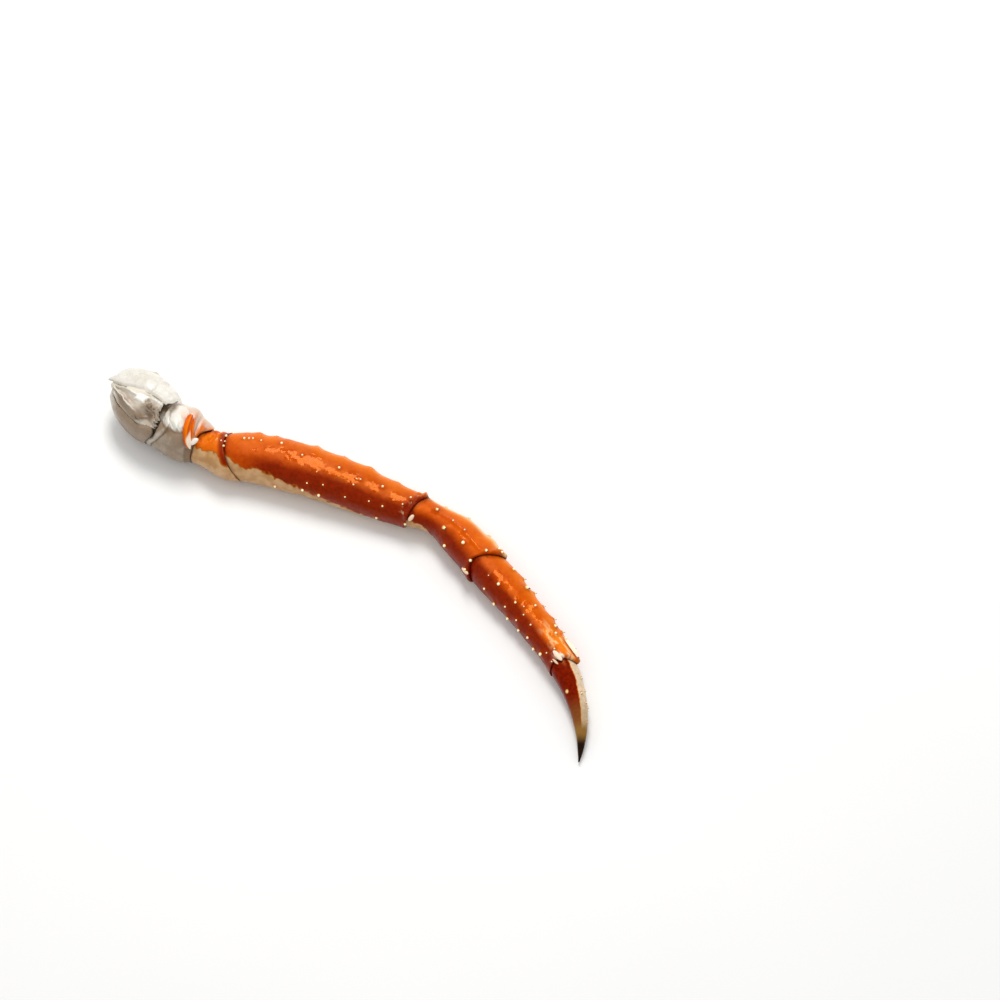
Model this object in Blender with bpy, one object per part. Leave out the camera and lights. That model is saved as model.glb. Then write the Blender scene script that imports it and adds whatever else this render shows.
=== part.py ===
"""A cooked king crab leg lying on a table: body joint, five shell segments and the claw.

The leg lies flat with its broken body end at -X and its claw tip at +X. Its orange
back faces +Y, its pale belly faces -Y and +Z is up. Every segment is a tube along a
curve in plan. Its near end is a rounded knob that sits in a socket of the segment
before it, and its far end is an oblique rim that hoods over the next knob.
Angles round a segment start at the back (+Y side) and rise over the top (90 degrees).
"""
import math

import bmesh
import bpy
from mathutils import Vector

MM = 0.001

# --- driving dimensions -------------------------------------------------------
JOINT_GAP = 0.5 * MM          # clearance between a knob and its socket
LIP_SET = 0.4                 # how far the inner edge of a shell's lip lies behind the outer one
PLATE_GAP = 0.5 * MM          # clearance between the body plates and the meat
PLATE_WALL = 1.9 * MM         # thickness of the body plates
PLAN_SHIFT = (46.3 * MM, 84.3 * MM)  # brings the middle of the leg to the origin
SECTION_POWER = 2.25          # 2 is an ellipse, more is boxier
KNOB_STEPS = 4                # steps that round a knob, and the socket over it, off
FLATTEST = 0.0                # the table: nothing goes below it


def catmull(values, t):
    """Smooth value at t in 0..1 through evenly spaced values."""
    last = len(values) - 1
    x = min(max(t, 0.0), 1.0) * last
    i = min(int(x), last - 1)
    f = x - i
    p0 = values[max(i - 1, 0)]
    p1 = values[i]
    p2 = values[i + 1]
    p3 = values[min(i + 2, last)]
    return p1 + 0.5 * f * (p2 - p0 + f * (2 * p0 - 5 * p1 + 4 * p2 - p3 + f * (3 * (p1 - p2) + p3 - p0)))


def lobe(angle, centre, spread):
    """A smooth bump of height 1 round an angle, all in degrees."""
    off = (angle - centre + 180.0) % 360.0 - 180.0
    return math.exp(-(off / spread) ** 2)


class Segment:
    """A tube with a knob at its near end and an oblique rim at its far end."""

    def __init__(self, start, end, headings, heights, widths, depth, knob, hood, sides, rings,
                 bumps=(), keel=0.0):
        self.start = Vector((start[0] * MM + PLAN_SHIFT[0], start[1] * MM + PLAN_SHIFT[1]))
        self.end = Vector((end[0] * MM + PLAN_SHIFT[0], end[1] * MM + PLAN_SHIFT[1]))
        self.length = (self.end - self.start).length
        self.headings = [math.radians(h) for h in headings]
        self.heights = [h * MM for h in heights]
        self.widths = [w * MM for w in widths]
        self.depth = depth
        self.knob = knob * MM
        self.hood = hood
        self.sides = sides
        self.rings = rings
        self.bumps = bumps
        self.keel = keel

    def plan(self, t):
        """Centre line in plan: a Hermite curve, straight beyond its two ends."""
        along = [Vector((math.cos(h), math.sin(h))) * self.length for h in self.headings]
        if t < 0.0:
            return self.start + along[0] * t
        if t > 1.0:
            return self.end + along[1] * (t - 1.0)
        a = 2 * t ** 3 - 3 * t ** 2 + 1
        b = t ** 3 - 2 * t ** 2 + t
        c = 3 * t ** 2 - 2 * t ** 3
        d = t ** 3 - t ** 2
        return self.start * a + along[0] * b + self.end * c + along[1] * d

    def back(self, t):
        """Unit vector towards the leg's back, square to the centre line."""
        step = 0.01
        run = self.plan(t + step) - self.plan(t - step)
        return Vector((-run.y, run.x)).normalized()

    def rounding(self, t, grow):
        """Shrinks the rings over the knob, so that it closes at its pole."""
        if t >= 0.0 or self.knob == 0.0:
            return 1.0
        reach = min(-t * self.length / (self.knob + grow), 1.0)
        return math.sqrt(max(1.0 - reach * reach, 0.0))

    def point(self, t, angle, grow=0.0):
        """A point of the outer surface, or of one standing off it by grow."""
        half = catmull(self.widths, t) + grow
        half *= self.rounding(t, grow)
        rad = math.radians(angle)
        c, s = math.cos(rad), math.sin(rad)
        out = half * math.copysign(abs(c) ** (2 / SECTION_POWER), c)
        lift = half * self.depth * math.copysign(abs(s) ** (2 / SECTION_POWER), s)
        swell = 1.0 + self.keel * lobe(angle, 27.0, 24.0)
        for place, reach, rise in self.bumps:
            swell += rise * lobe(angle, 27.0, 30.0) * math.exp(-((t - place) / reach) ** 2)
        ease = max(0.0, 1.0 - (2 * t - 1) ** 4) if grow == 0.0 else 0.0
        swell = 1.0 + (swell - 1.0) * ease
        centre = self.plan(t)
        back = self.back(t)
        z = catmull(self.heights, t)
        flat = centre + back * out * swell
        return Vector((flat.x, flat.y, max(z + lift * swell, FLATTEST)))

    def rim(self, angle):
        """How far the far rim stands past the end of the centre line, as a part of t."""
        reach = 0.0
        for amount, centre, spread in self.hood:
            reach += amount * MM * lobe(angle, centre, spread)
        return reach / self.length

    def pole(self, grow=0.0):
        """The end of the knob, which stands out behind the start of the centre line."""
        t = -(self.knob + grow) / self.length
        centre = self.plan(t)
        return Vector((centre.x, centre.y, catmull(self.heights, 0.0)))


def ring_angles(sides):
    """Evenly spaced angles round a segment."""
    return [360.0 * i / sides for i in range(sides)]


def bridge(bm, rings):
    """Quads between neighbouring rings of equal count."""
    for low, high in zip(rings, rings[1:]):
        count = len(low)
        for i in range(count):
            j = (i + 1) % count
            bm.faces.new((low[i], low[j], high[j], high[i]))


def fan(bm, ring, tip):
    """Triangles from a ring to one vertex."""
    count = len(ring)
    for i in range(count):
        bm.faces.new((ring[i], ring[(i + 1) % count], tip))


def knob_places(segment, grow=0.0):
    """Places of the rings that round a knob off, from its pole outwards."""
    knob = (segment.knob + grow) / segment.length
    return [-knob * math.cos(math.pi / 2 * i / KNOB_STEPS) for i in range(1, KNOB_STEPS)]


def outer_rings(bm, segment):
    """Rings from the knob to the far rim, slanting into the rim's own shape."""
    angles = ring_angles(segment.sides)
    places = knob_places(segment) + [i / segment.rings for i in range(segment.rings + 1)]
    rings = []
    for t in places:
        slant = max(0.0, (t - 0.6) / 0.4) ** 2
        rings.append([bm.verts.new(segment.point(t + slant * segment.rim(a), a)) for a in angles])
    return rings


def socket_rings(bm, mouth, angles, after):
    """Rings from a shell's mouth down its socket, standing off the next segment's knob."""
    run = (after.plan(0.01) - after.plan(0.0)).normalized()
    edges = [((m.xy - after.start).dot(run) - LIP_SET * MM) / after.length for m in mouth]
    rings = []
    for part in (1.0, 0.5):
        rings.append([bm.verts.new(after.point(t * part, a, JOINT_GAP)) for a, t in zip(angles, edges)])
    for t in [0.0] + knob_places(after, JOINT_GAP)[::-1]:
        rings.append([bm.verts.new(after.point(t, a, JOINT_GAP)) for a in angles])
    return rings


def raise_thorns(bm, segment, thorns):
    """Pulls a small cone out of the shell at each (place, angle, height in mm)."""
    for place, angle, height in thorns:
        goal = segment.point(place, angle)
        bm.faces.ensure_lookup_table()
        face = min(bm.faces, key=lambda f: (f.calc_center_median() - goal).length)
        if len(face.verts) != 4:
            continue
        side = min(edge.calc_length() for edge in face.edges)
        bmesh.ops.inset_individual(bm, faces=[face], thickness=0.22 * side)
        bmesh.ops.poke(bm, faces=[face], offset=height * MM)


def build_object(name, bm, colour, roughness):
    """Turns a bmesh into a named, smooth-shaded object with its own material."""
    bmesh.ops.recalc_face_normals(bm, faces=bm.faces[:])
    mesh = bpy.data.meshes.new(name)
    bm.to_mesh(mesh)
    bm.free()
    mesh.shade_smooth()
    mesh.set_sharp_from_angle(angle=math.radians(50))
    material = bpy.data.materials.new(name + "_finish")
    material.use_nodes = True
    shader = material.node_tree.nodes["Principled BSDF"]
    shader.inputs["Base Color"].default_value = (*colour, 1.0)
    shader.inputs["Roughness"].default_value = roughness
    shader.inputs["Metallic"].default_value = 0.0
    mesh.materials.append(material)
    item = bpy.data.objects.new(name, mesh)
    bpy.context.scene.collection.objects.link(item)
    return item


def build_segment(name, segment, after, thorns, colour, roughness=0.3):
    """A shell segment; the last one has no socket and closes at its tip."""
    bm = bmesh.new()
    rings = outer_rings(bm, segment)
    pole = bm.verts.new(segment.pole())
    if after is None:
        tip = segment.plan(1.0)
        last = bm.verts.new((tip.x, tip.y, catmull(segment.heights, 1.0)))
        for vert in rings.pop():
            bm.verts.remove(vert)
        bridge(bm, rings)
        fan(bm, rings[-1], last)
    else:
        angles = ring_angles(segment.sides)
        mouth = [segment.point(1.0 + segment.rim(a), a) for a in angles]
        lining = socket_rings(bm, mouth, angles, after)
        bridge(bm, rings + lining)
        fan(bm, lining[-1], bm.verts.new(after.pole(JOINT_GAP)))
    fan(bm, rings[0], pole)
    raise_thorns(bm, segment, thorns)
    return build_object(name, bm, colour, roughness)


def thorn_row(angle, first, last, count, height, sway=7.0):
    """Thorns in a slightly wandering row along a segment."""
    row = []
    for i in range(count):
        t = first + (last - first) * i / max(count - 1, 1)
        row.append((t, angle + sway * math.sin(2.4 * i + angle), height * (1.0 + 0.2 * math.cos(3.1 * i))))
    return row


# --- the segments, in mm and degrees ----------------------------------------------
COXA = Segment(
    start=(-228, -116.3), end=(-185, -108.3), headings=(0, 24), heights=(19, 19, 19, 18.4, 16.4),
    widths=(14, 16.4, 18.0, 19.2, 19.2, 16.4), depth=0.93, knob=6, hood=((10, 45, 36), (-1, 200, 50)),
    sides=24, rings=9)
ISCHIUM = Segment(
    start=(-189, -110.5), end=(-160.5, -102), headings=(10, 34), heights=(15, 14.7, 15.2, 15.6),
    widths=(13.4, 13.8, 13.5, 14.2, 16.3, 18.1), depth=0.86, knob=5, hood=((10, 205, 46), (-6, 60, 50)),
    sides=24, rings=9)
MERUS = Segment(
    start=(-164, -105.5), end=(-34, -51), headings=(37, 18), heights=(15, 15.2, 15.0, 14.8, 13.6, 12.4, 12.4),
    widths=(14.2, 16.3, 17.2, 17.9, 17.7, 17.2, 16.9, 16.3, 15.1, 13.8, 13.6), depth=0.85, knob=6,
    hood=((5, 40, 50), (-2, 215, 60)), sides=24, rings=25, keel=0.03,
    bumps=((0.155, 0.03, 0.10), (0.235, 0.03, 0.05), (0.44, 0.03, 0.08), (0.58, 0.03, 0.05),
           (0.72, 0.035, 0.08), (0.87, 0.03, 0.07)))
CARPUS = Segment(
    start=(-38.5, -52.5), end=(31.5, -52), headings=(27, -14), heights=(12.6, 12.9, 13, 13.2, 13, 12.8),
    widths=(11.7, 11.8, 10.6, 10.5, 12.0, 13.5, 14.1, 14.0, 14.4, 15.1), depth=0.87, knob=5,
    hood=((5, 20, 50), (-5, 115, 45), (2, 200, 50)), sides=24, rings=14, keel=0.03,
    bumps=((0.88, 0.07, 0.17),))
PROPODUS = Segment(
    start=(26, -50.6), end=(120, -73.6), headings=(-10.5, -20.5), heights=(12.6, 11.6, 11, 10.4, 10, 9.8),
    widths=(12.2, 13.3, 13.4, 12.9, 12.3, 11.9, 11.6, 11.3, 10.9, 10.8, 11.2), depth=0.88, knob=5,
    hood=((5, 25, 40), (-2, 110, 40), (2, 200, 40)), sides=24, rings=18, keel=0.02,
    bumps=((0.28, 0.03, 0.05), (0.45, 0.03, 0.04), (0.66, 0.03, 0.05), (0.86, 0.03, 0.06)))
DACTYL = Segment(
    start=(116.5, -73.5), end=(171.6, -119.3), headings=(-19, -61), heights=(9.8, 9.2, 7.8, 6.4, 4.6, 2.6),
    widths=(8.9, 9.1, 8.5, 7.7, 6.9, 6.0, 5.0, 4.0, 2.9, 1.8, 0.5), depth=0.9, knob=4, hood=(),
    sides=16, rings=20)

# --- the body joint (shoulder) ------------------------------------------------------
SHOULDER = Segment(
    start=(-260, -113), end=(-214, -115.5), headings=(10, -6), heights=(24, 22, 21, 20.4, 19.8, 19.4),
    widths=(10, 16.0, 20.0, 21.9, 22.6, 22.0, 21.0), depth=0.93, knob=0, hood=(), sides=24, rings=10)
DOME_ARC = (-52.0, 88.0)      # the smooth plate over the back and the top
CUP_ARC = (158.0, 296.0)      # the plate under the belly side
PLATE_SPAN = (0.02, 1.0)
DOME_LIP = 6.0                # how far the dome's pointed lip stands out at the broken end
FOLD_DEPTH = 0.8 * MM
SLOT_FILL = 2.4 * MM          # how far the meat swells up into the slot between the plates
SLOT_REACH = 0.2              # how far the meat runs on past the plates, as a part of t


def plate(name, arc, wander, reach, columns, rows, colour):
    """A curved plate of even thickness over the shoulder meat.

    wander(t) moves the plate's upper edge in degrees and reach(angle) moves its two
    ends along the leg, as parts of t.
    """
    bm = bmesh.new()
    layers = []
    for grow in (0.0, -PLATE_WALL):
        grid = []
        for i in range(rows + 1):
            t = PLATE_SPAN[0] + (PLATE_SPAN[1] - PLATE_SPAN[0]) * i / rows
            first, last = arc[0], arc[1]
            first, last = wander(t, first, last)
            line = []
            for j in range(columns + 1):
                angle = first + (last - first) * j / columns
                near, far = reach(angle)
                place = t + near * (1 - t) ** 2 + far * t ** 2
                line.append(bm.verts.new(SHOULDER.point(place, angle, grow)))
            grid.append(line)
        layers.append(grid)
    outer, inner = layers
    for grid, flip in ((outer, False), (inner, True)):
        for i in range(rows):
            for j in range(columns):
                quad = (grid[i][j], grid[i][j + 1], grid[i + 1][j + 1], grid[i + 1][j])
                bm.faces.new(quad[::-1] if flip else quad)
    edge_out = [outer[0][j] for j in range(columns)] + [outer[i][columns] for i in range(rows)]
    edge_out += [outer[rows][j] for j in range(columns, 0, -1)] + [outer[i][0] for i in range(rows, 0, -1)]
    edge_in = [inner[0][j] for j in range(columns)] + [inner[i][columns] for i in range(rows)]
    edge_in += [inner[rows][j] for j in range(columns, 0, -1)] + [inner[i][0] for i in range(rows, 0, -1)]
    bridge(bm, [edge_out, edge_in])
    return build_object(name, bm, colour, 0.35)


def meat_point(u, angle):
    """The meat's surface at u in 0..1 along it: folded, and swollen up into the slot."""
    t = 0.03 + 0.9 * u + SLOT_REACH * u ** 3 * lobe(angle, 114.0, 18.0)
    slot = 145.0 - 35.0 * u
    fold = FOLD_DEPTH * (math.sin(math.radians(9 * angle + 140 * t)) - 1.0) * lobe(angle, slot, 24.0)
    fill = SLOT_FILL * lobe(angle, slot, 6.0 + 13.0 * u)
    return SHOULDER.point(t, angle, fill + fold - PLATE_WALL - PLATE_GAP)


def build_meat():
    """The flaky meat that fills the shoulder and shows between its plates."""
    bm = bmesh.new()
    angles = ring_angles(SHOULDER.sides)
    rings = []
    for i in range(SHOULDER.rings + 1):
        rings.append([bm.verts.new(meat_point(i / SHOULDER.rings, a)) for a in angles])
    mouth = [vert.co for vert in rings[-1]]
    lining = socket_rings(bm, mouth, angles, COXA)
    bridge(bm, rings + lining)
    fan(bm, lining[-1], bm.verts.new(COXA.pole(JOINT_GAP)))
    centre = SHOULDER.plan(-0.02)
    fan(bm, rings[0], bm.verts.new((centre.x, centre.y, SHOULDER.heights[0])))
    return build_object("shoulder_meat", bm, (0.78, 0.70, 0.60), 0.45)


def build_shoulder():
    """Meat, the smooth dome plate and the cup plate."""
    build_meat()

    def dome_edges(t, first, last):
        return first, last + 45.0 * (1 - t) ** 2 - 12.0 * t ** 2

    def dome_reach(angle):
        near = -DOME_LIP * lobe(angle, 132.0, 22.0)
        far = 5.0 * lobe(angle, 95.0, 30.0)
        return near * MM / SHOULDER.length, far * MM / SHOULDER.length

    def cup_edges(t, first, last):
        return first - 10.0 * t ** 2, last

    def cup_reach(angle):
        near = 2.0 * lobe(angle, 160.0, 20.0)
        far = 8.0 * lobe(angle, 150.0, 40.0)
        return near * MM / SHOULDER.length, far * MM / SHOULDER.length

    plate("shoulder_dome", DOME_ARC, dome_edges, dome_reach, 14, 11, (0.80, 0.77, 0.70))
    plate("shoulder_cup", CUP_ARC, cup_edges, cup_reach, 12, 11, (0.70, 0.64, 0.56))


def build_leg():
    """The shell segments from the coxa to the claw."""
    orange = (0.72, 0.16, 0.015)
    deep = (0.60, 0.09, 0.01)
    pale = (0.76, 0.62, 0.47)
    build_segment("coxa", COXA, ISCHIUM, [], pale)
    build_segment("ischium", ISCHIUM, MERUS, [], (0.74, 0.36, 0.12))
    merus_thorns = thorn_row(62, 0.12, 0.92, 9, 1.2) + thorn_row(118, 0.2, 0.95, 7, 1.0)
    merus_thorns += thorn_row(165, 0.2, 0.9, 6, 1.2) + thorn_row(330, 0.1, 0.9, 8, 1.2)
    build_segment("merus", MERUS, CARPUS, merus_thorns, orange)
    carpus_thorns = thorn_row(72, 0.3, 0.92, 4, 2.0) + thorn_row(125, 0.25, 0.85, 4, 1.6)
    carpus_thorns += thorn_row(180, 0.35, 0.9, 3, 1.5) + thorn_row(335, 0.25, 0.9, 4, 1.6)
    build_segment("carpus", CARPUS, PROPODUS, carpus_thorns, orange)
    propodus_thorns = thorn_row(55, 0.18, 0.92, 6, 1.8) + thorn_row(110, 0.15, 0.9, 7, 1.3)
    propodus_thorns += thorn_row(165, 0.15, 0.92, 7, 1.5) + thorn_row(335, 0.15, 0.9, 6, 1.5)
    build_segment("propodus", PROPODUS, DACTYL, propodus_thorns, deep)
    dactyl_thorns = thorn_row(25, 0.25, 0.6, 4, 0.9)
    build_segment("dactyl", DACTYL, None, dactyl_thorns, (0.35, 0.10, 0.03), 0.25)


def clear_scene():
    """Starts from an empty scene."""
    for item in list(bpy.data.objects):
        bpy.data.objects.remove(item, do_unlink=True)


clear_scene()
build_shoulder()
build_leg()
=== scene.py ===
"""Looks of a cooked king crab leg: shell, spines, joint membranes, shoulder and claw.

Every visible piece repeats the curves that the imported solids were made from, with the
fine relief, spines and colours of the real shell. Angles round a segment start at the
leg's back (+Y side) and rise over the top (90 degrees).
"""

import math

import bpy
import numpy as np
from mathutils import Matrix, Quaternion, Vector

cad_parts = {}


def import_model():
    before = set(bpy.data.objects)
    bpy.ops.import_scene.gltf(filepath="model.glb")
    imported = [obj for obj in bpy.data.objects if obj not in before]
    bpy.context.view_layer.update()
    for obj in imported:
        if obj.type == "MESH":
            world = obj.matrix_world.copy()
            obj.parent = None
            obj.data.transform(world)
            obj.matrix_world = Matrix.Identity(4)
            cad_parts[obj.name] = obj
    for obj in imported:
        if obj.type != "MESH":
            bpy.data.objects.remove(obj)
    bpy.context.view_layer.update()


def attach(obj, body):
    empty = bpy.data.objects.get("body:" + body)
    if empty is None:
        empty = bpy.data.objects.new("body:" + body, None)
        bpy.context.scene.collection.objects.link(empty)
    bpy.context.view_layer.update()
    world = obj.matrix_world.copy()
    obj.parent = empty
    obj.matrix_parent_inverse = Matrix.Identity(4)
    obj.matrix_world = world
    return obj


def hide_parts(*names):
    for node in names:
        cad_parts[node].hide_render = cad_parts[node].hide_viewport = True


MM = 0.001
PLAN_SHIFT = (46.3 * MM, 84.3 * MM)   # brings the middle of the leg to the origin
JOINT_GAP = 0.5 * MM                  # clearance between a knob and its socket
PLATE_WALL = 1.9 * MM                 # thickness of the shoulder's two plates
PLATE_GAP = 0.5 * MM                  # clearance between the plates and the meat
SECTION_POWER = 2.25                  # 2 is an ellipse, more is boxier
TABLE = 0.0                           # nothing sinks below this height
MESH_STEP = 0.52 * MM                 # spacing of the vertices on every shell
CAP_RINGS = 6                         # rings that round a knob off
SOCKET_RINGS = 12                     # rings of the lining inside a rim
LIP_SET = 0.4 * MM                    # how far the inner edge of a rim lies behind the outer one
ROLL = 1.6                            # how far from its rim, in mm, a shell starts to curl in
ROLL_GAP = 0.3 * MM                   # how close to the next knob the curled rim aims
RIDGE = 27.0                          # angle of the back's ridge
BELLY = 207.0                         # angle of the belly's middle


# --- small numeric tools -----------------------------------------------------------
def catmull(values, t):
    """Smooth values at t in 0..1 through evenly spaced values."""
    v = np.asarray(values, float)
    last = len(v) - 1
    x = np.clip(t, 0.0, 1.0) * last
    i = np.minimum(x.astype(int), last - 1)
    f = x - i
    p0 = v[np.maximum(i - 1, 0)]
    p1 = v[i]
    p2 = v[i + 1]
    p3 = v[np.minimum(i + 2, last)]
    return p1 + 0.5 * f * (p2 - p0 + f * (2 * p0 - 5 * p1 + 4 * p2 - p3 + f * (3 * (p1 - p2) + p3 - p0)))


def turn(angle, centre):
    """Signed difference of two angles in degrees."""
    return (angle - centre + 180.0) % 360.0 - 180.0


def lobe(angle, centre, spread):
    """A smooth bump of height 1 round an angle."""
    return np.exp(-(turn(angle, centre) / spread) ** 2)


def step(low, high, x):
    """Smooth step from 0 at low to 1 at high."""
    f = np.clip((x - low) / (high - low), 0.0, 1.0)
    return f * f * (3 - 2 * f)


HASH_CELL = np.array((374761393, 668265263, 1274126177))
HASH_SEED = 974711
HASH_MIX = ((13, 1103515245), (15, 134775813))
HASH_MASK = np.int64(0xFFFFFFFF)


def lattice(cell, seed):
    """A repeatable random value in 0..1 for each integer cell."""
    h = ((cell * HASH_CELL).sum(-1) + seed * HASH_SEED) & HASH_MASK
    for shift, factor in HASH_MIX:
        h = ((h ^ (h >> shift)) * factor) & HASH_MASK
    return ((h ^ (h >> 16)) & 0xFFFF) / 65535.0


def noise(points, size, seed=0):
    """Smooth value noise in -1..1 with blobs about size wide."""
    q = np.asarray(points) / size
    cell = np.floor(q).astype(np.int64)
    f = q - cell
    f = f * f * f * (f * (f * 6 - 15) + 10)
    total = 0.0
    for dx in (0, 1):
        for dy in (0, 1):
            for dz in (0, 1):
                weight = (f[..., 0] if dx else 1 - f[..., 0]) * (f[..., 1] if dy else 1 - f[..., 1])
                weight = weight * (f[..., 2] if dz else 1 - f[..., 2])
                total = total + weight * lattice(cell + np.array((dx, dy, dz)), seed)
    return total * 2 - 1


FADE = 0.55                           # how much weaker each finer layer of noise is


def fractal(points, size, seed=0, octaves=4):
    """Noise with finer and finer detail, about -1..1."""
    total = 0.0
    gain = 0.0
    for k in range(octaves):
        total = total + noise(points, size / 2 ** k, seed + 17 * k) * FADE ** k
        gain += FADE ** k
    return total / gain


def unit(v):
    """Vectors of length 1."""
    return v / np.maximum(np.linalg.norm(v, axis=-1, keepdims=True), 1e-12)


# --- the leg's curves ----------------------------------------------------------------
class Segment:
    """A tube with a knob at its near end and an oblique rim at its far end."""

    def __init__(self, start, end, headings, heights, widths, depth, knob, hood, bumps=(), keel=0.0):
        self.start = np.array(start) * MM + PLAN_SHIFT
        self.end = np.array(end) * MM + PLAN_SHIFT
        self.length = float(np.linalg.norm(self.end - self.start))
        self.headings = np.radians(headings)
        self.heights = np.array(heights) * MM
        self.widths = np.array(widths) * MM
        self.depth = depth
        self.knob = knob * MM
        self.hood = hood
        self.bumps = bumps
        self.keel = keel

    def plan(self, t):
        """Centre line in plan: a Hermite curve, straight beyond its two ends."""
        t = np.asarray(t, float)[..., None]
        near, far = [np.array((math.cos(h), math.sin(h))) * self.length for h in self.headings]
        c = np.clip(t, 0.0, 1.0)
        curve = self.start * (2 * c ** 3 - 3 * c ** 2 + 1) + near * (c ** 3 - 2 * c ** 2 + c)
        curve = curve + self.end * (3 * c ** 2 - 2 * c ** 3) + far * (c ** 3 - c ** 2)
        return curve + near * np.minimum(t, 0.0) + far * np.maximum(t - 1.0, 0.0)

    def along(self, t):
        """Unit vector along the leg, in plan."""
        return unit(self.plan(np.asarray(t) + 0.01) - self.plan(np.asarray(t) - 0.01))

    def point(self, t, angle, grow=0.0):
        """Points of the outer surface, or of one standing off it by grow."""
        t, angle, grow = np.broadcast_arrays(np.asarray(t, float), np.asarray(angle, float), grow)
        half = catmull(self.widths, t) + grow
        if self.knob > 0.0:
            reach = np.clip(-t * self.length / (self.knob + grow), 0.0, 1.0)
            half = half * np.sqrt(np.maximum(1.0 - reach ** 2, 0.0))
        rad = np.radians(angle)
        c, s = np.cos(rad), np.sin(rad)
        out = half * np.sign(c) * np.abs(c) ** (2 / SECTION_POWER)
        lift = half * self.depth * np.sign(s) * np.abs(s) ** (2 / SECTION_POWER)
        swell = self.keel * lobe(angle, RIDGE, 24.0)
        for place, reach, rise in self.bumps:
            swell = swell + rise * lobe(angle, RIDGE, 30.0) * np.exp(-((t - place) / reach) ** 2)
        swell = 1.0 + swell * np.clip(1.0 - (2 * t - 1) ** 4, 0.0, 1.0) * (grow == 0.0)
        run = self.along(t)
        flat = self.plan(t) + np.stack((-run[..., 1], run[..., 0]), -1) * (out * swell)[..., None]
        z = catmull(self.heights, t) + lift * swell
        return np.concatenate((flat, np.maximum(z, TABLE)[..., None]), -1)

    def rim(self, angle):
        """How far the far rim stands past the end of the centre line, as a part of t."""
        reach = 0.0
        for amount, centre, spread in self.hood:
            reach = reach + amount * MM * lobe(angle, centre, spread)
        return reach / self.length

    def pole(self, grow=0.0):
        """The end of the knob, or of a socket that stands off it by grow."""
        flat = self.plan(-(self.knob + grow) / self.length)
        return np.array((flat[0], flat[1], self.heights[0]))

    def normal(self, t, angle):
        """Outward normals of the smooth surface."""
        dt = self.point(np.asarray(t) + 0.004, angle) - self.point(np.asarray(t) - 0.004, angle)
        da = self.point(t, np.asarray(angle) + 1.5) - self.point(t, np.asarray(angle) - 1.5)
        return unit(np.cross(da, dt))


COXA = Segment(
    start=(-228, -116.3), end=(-185, -108.3), headings=(0, 24), heights=(19, 19, 19, 18.4, 16.4),
    widths=(14, 16.4, 18.0, 19.2, 19.2, 16.4), depth=0.93, knob=6, hood=((10, 45, 36), (-1, 200, 50)))
ISCHIUM = Segment(
    start=(-189, -110.5), end=(-160.5, -102), headings=(10, 34), heights=(15, 14.7, 15.2, 15.6),
    widths=(13.4, 13.8, 13.5, 14.2, 16.3, 18.1), depth=0.86, knob=5, hood=((10, 205, 46), (-6, 60, 50)))
MERUS = Segment(
    start=(-164, -105.5), end=(-34, -51), headings=(37, 18), heights=(15, 15.2, 15.0, 14.8, 13.6, 12.4, 12.4),
    widths=(14.2, 16.3, 17.2, 17.9, 17.7, 17.2, 16.9, 16.3, 15.1, 13.8, 13.6), depth=0.85, knob=6,
    hood=((5, 40, 50), (-2, 215, 60)), keel=0.03,
    bumps=((0.155, 0.03, 0.10), (0.235, 0.03, 0.05), (0.44, 0.03, 0.08), (0.58, 0.03, 0.05),
           (0.72, 0.035, 0.08), (0.87, 0.03, 0.07)))
CARPUS = Segment(
    start=(-38.5, -52.5), end=(31.5, -52), headings=(27, -14), heights=(12.6, 12.9, 13, 13.2, 13, 12.8),
    widths=(11.7, 11.8, 10.6, 10.5, 12.0, 13.5, 14.1, 14.0, 14.4, 15.1), depth=0.87, knob=5,
    hood=((5, 20, 50), (-5, 115, 45), (2, 200, 50)), keel=0.03, bumps=((0.88, 0.07, 0.17),))
PROPODUS = Segment(
    start=(26, -50.6), end=(120, -73.6), headings=(-10.5, -20.5), heights=(12.6, 11.6, 11, 10.4, 10, 9.8),
    widths=(12.2, 13.3, 13.4, 12.9, 12.3, 11.9, 11.6, 11.3, 10.9, 10.8, 11.2), depth=0.88, knob=5,
    hood=((5, 25, 40), (-2, 110, 40), (2, 200, 40)), keel=0.02,
    bumps=((0.28, 0.03, 0.05), (0.45, 0.03, 0.04), (0.66, 0.03, 0.05), (0.86, 0.03, 0.06)))
DACTYL = Segment(
    start=(116.5, -73.5), end=(171.6, -119.3), headings=(-19, -61), heights=(9.8, 9.2, 7.8, 6.4, 4.6, 2.6),
    widths=(8.9, 9.1, 8.5, 7.7, 6.9, 6.0, 5.0, 4.0, 2.9, 1.8, 0.5), depth=0.9, knob=4, hood=())
SHOULDER = Segment(
    start=(-260, -113), end=(-214, -115.5), headings=(10, -6), heights=(24, 22, 21, 20.4, 19.8, 19.4),
    widths=(10, 16.0, 20.0, 21.9, 22.6, 22.0, 21.0), depth=0.93, knob=0, hood=())


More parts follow.
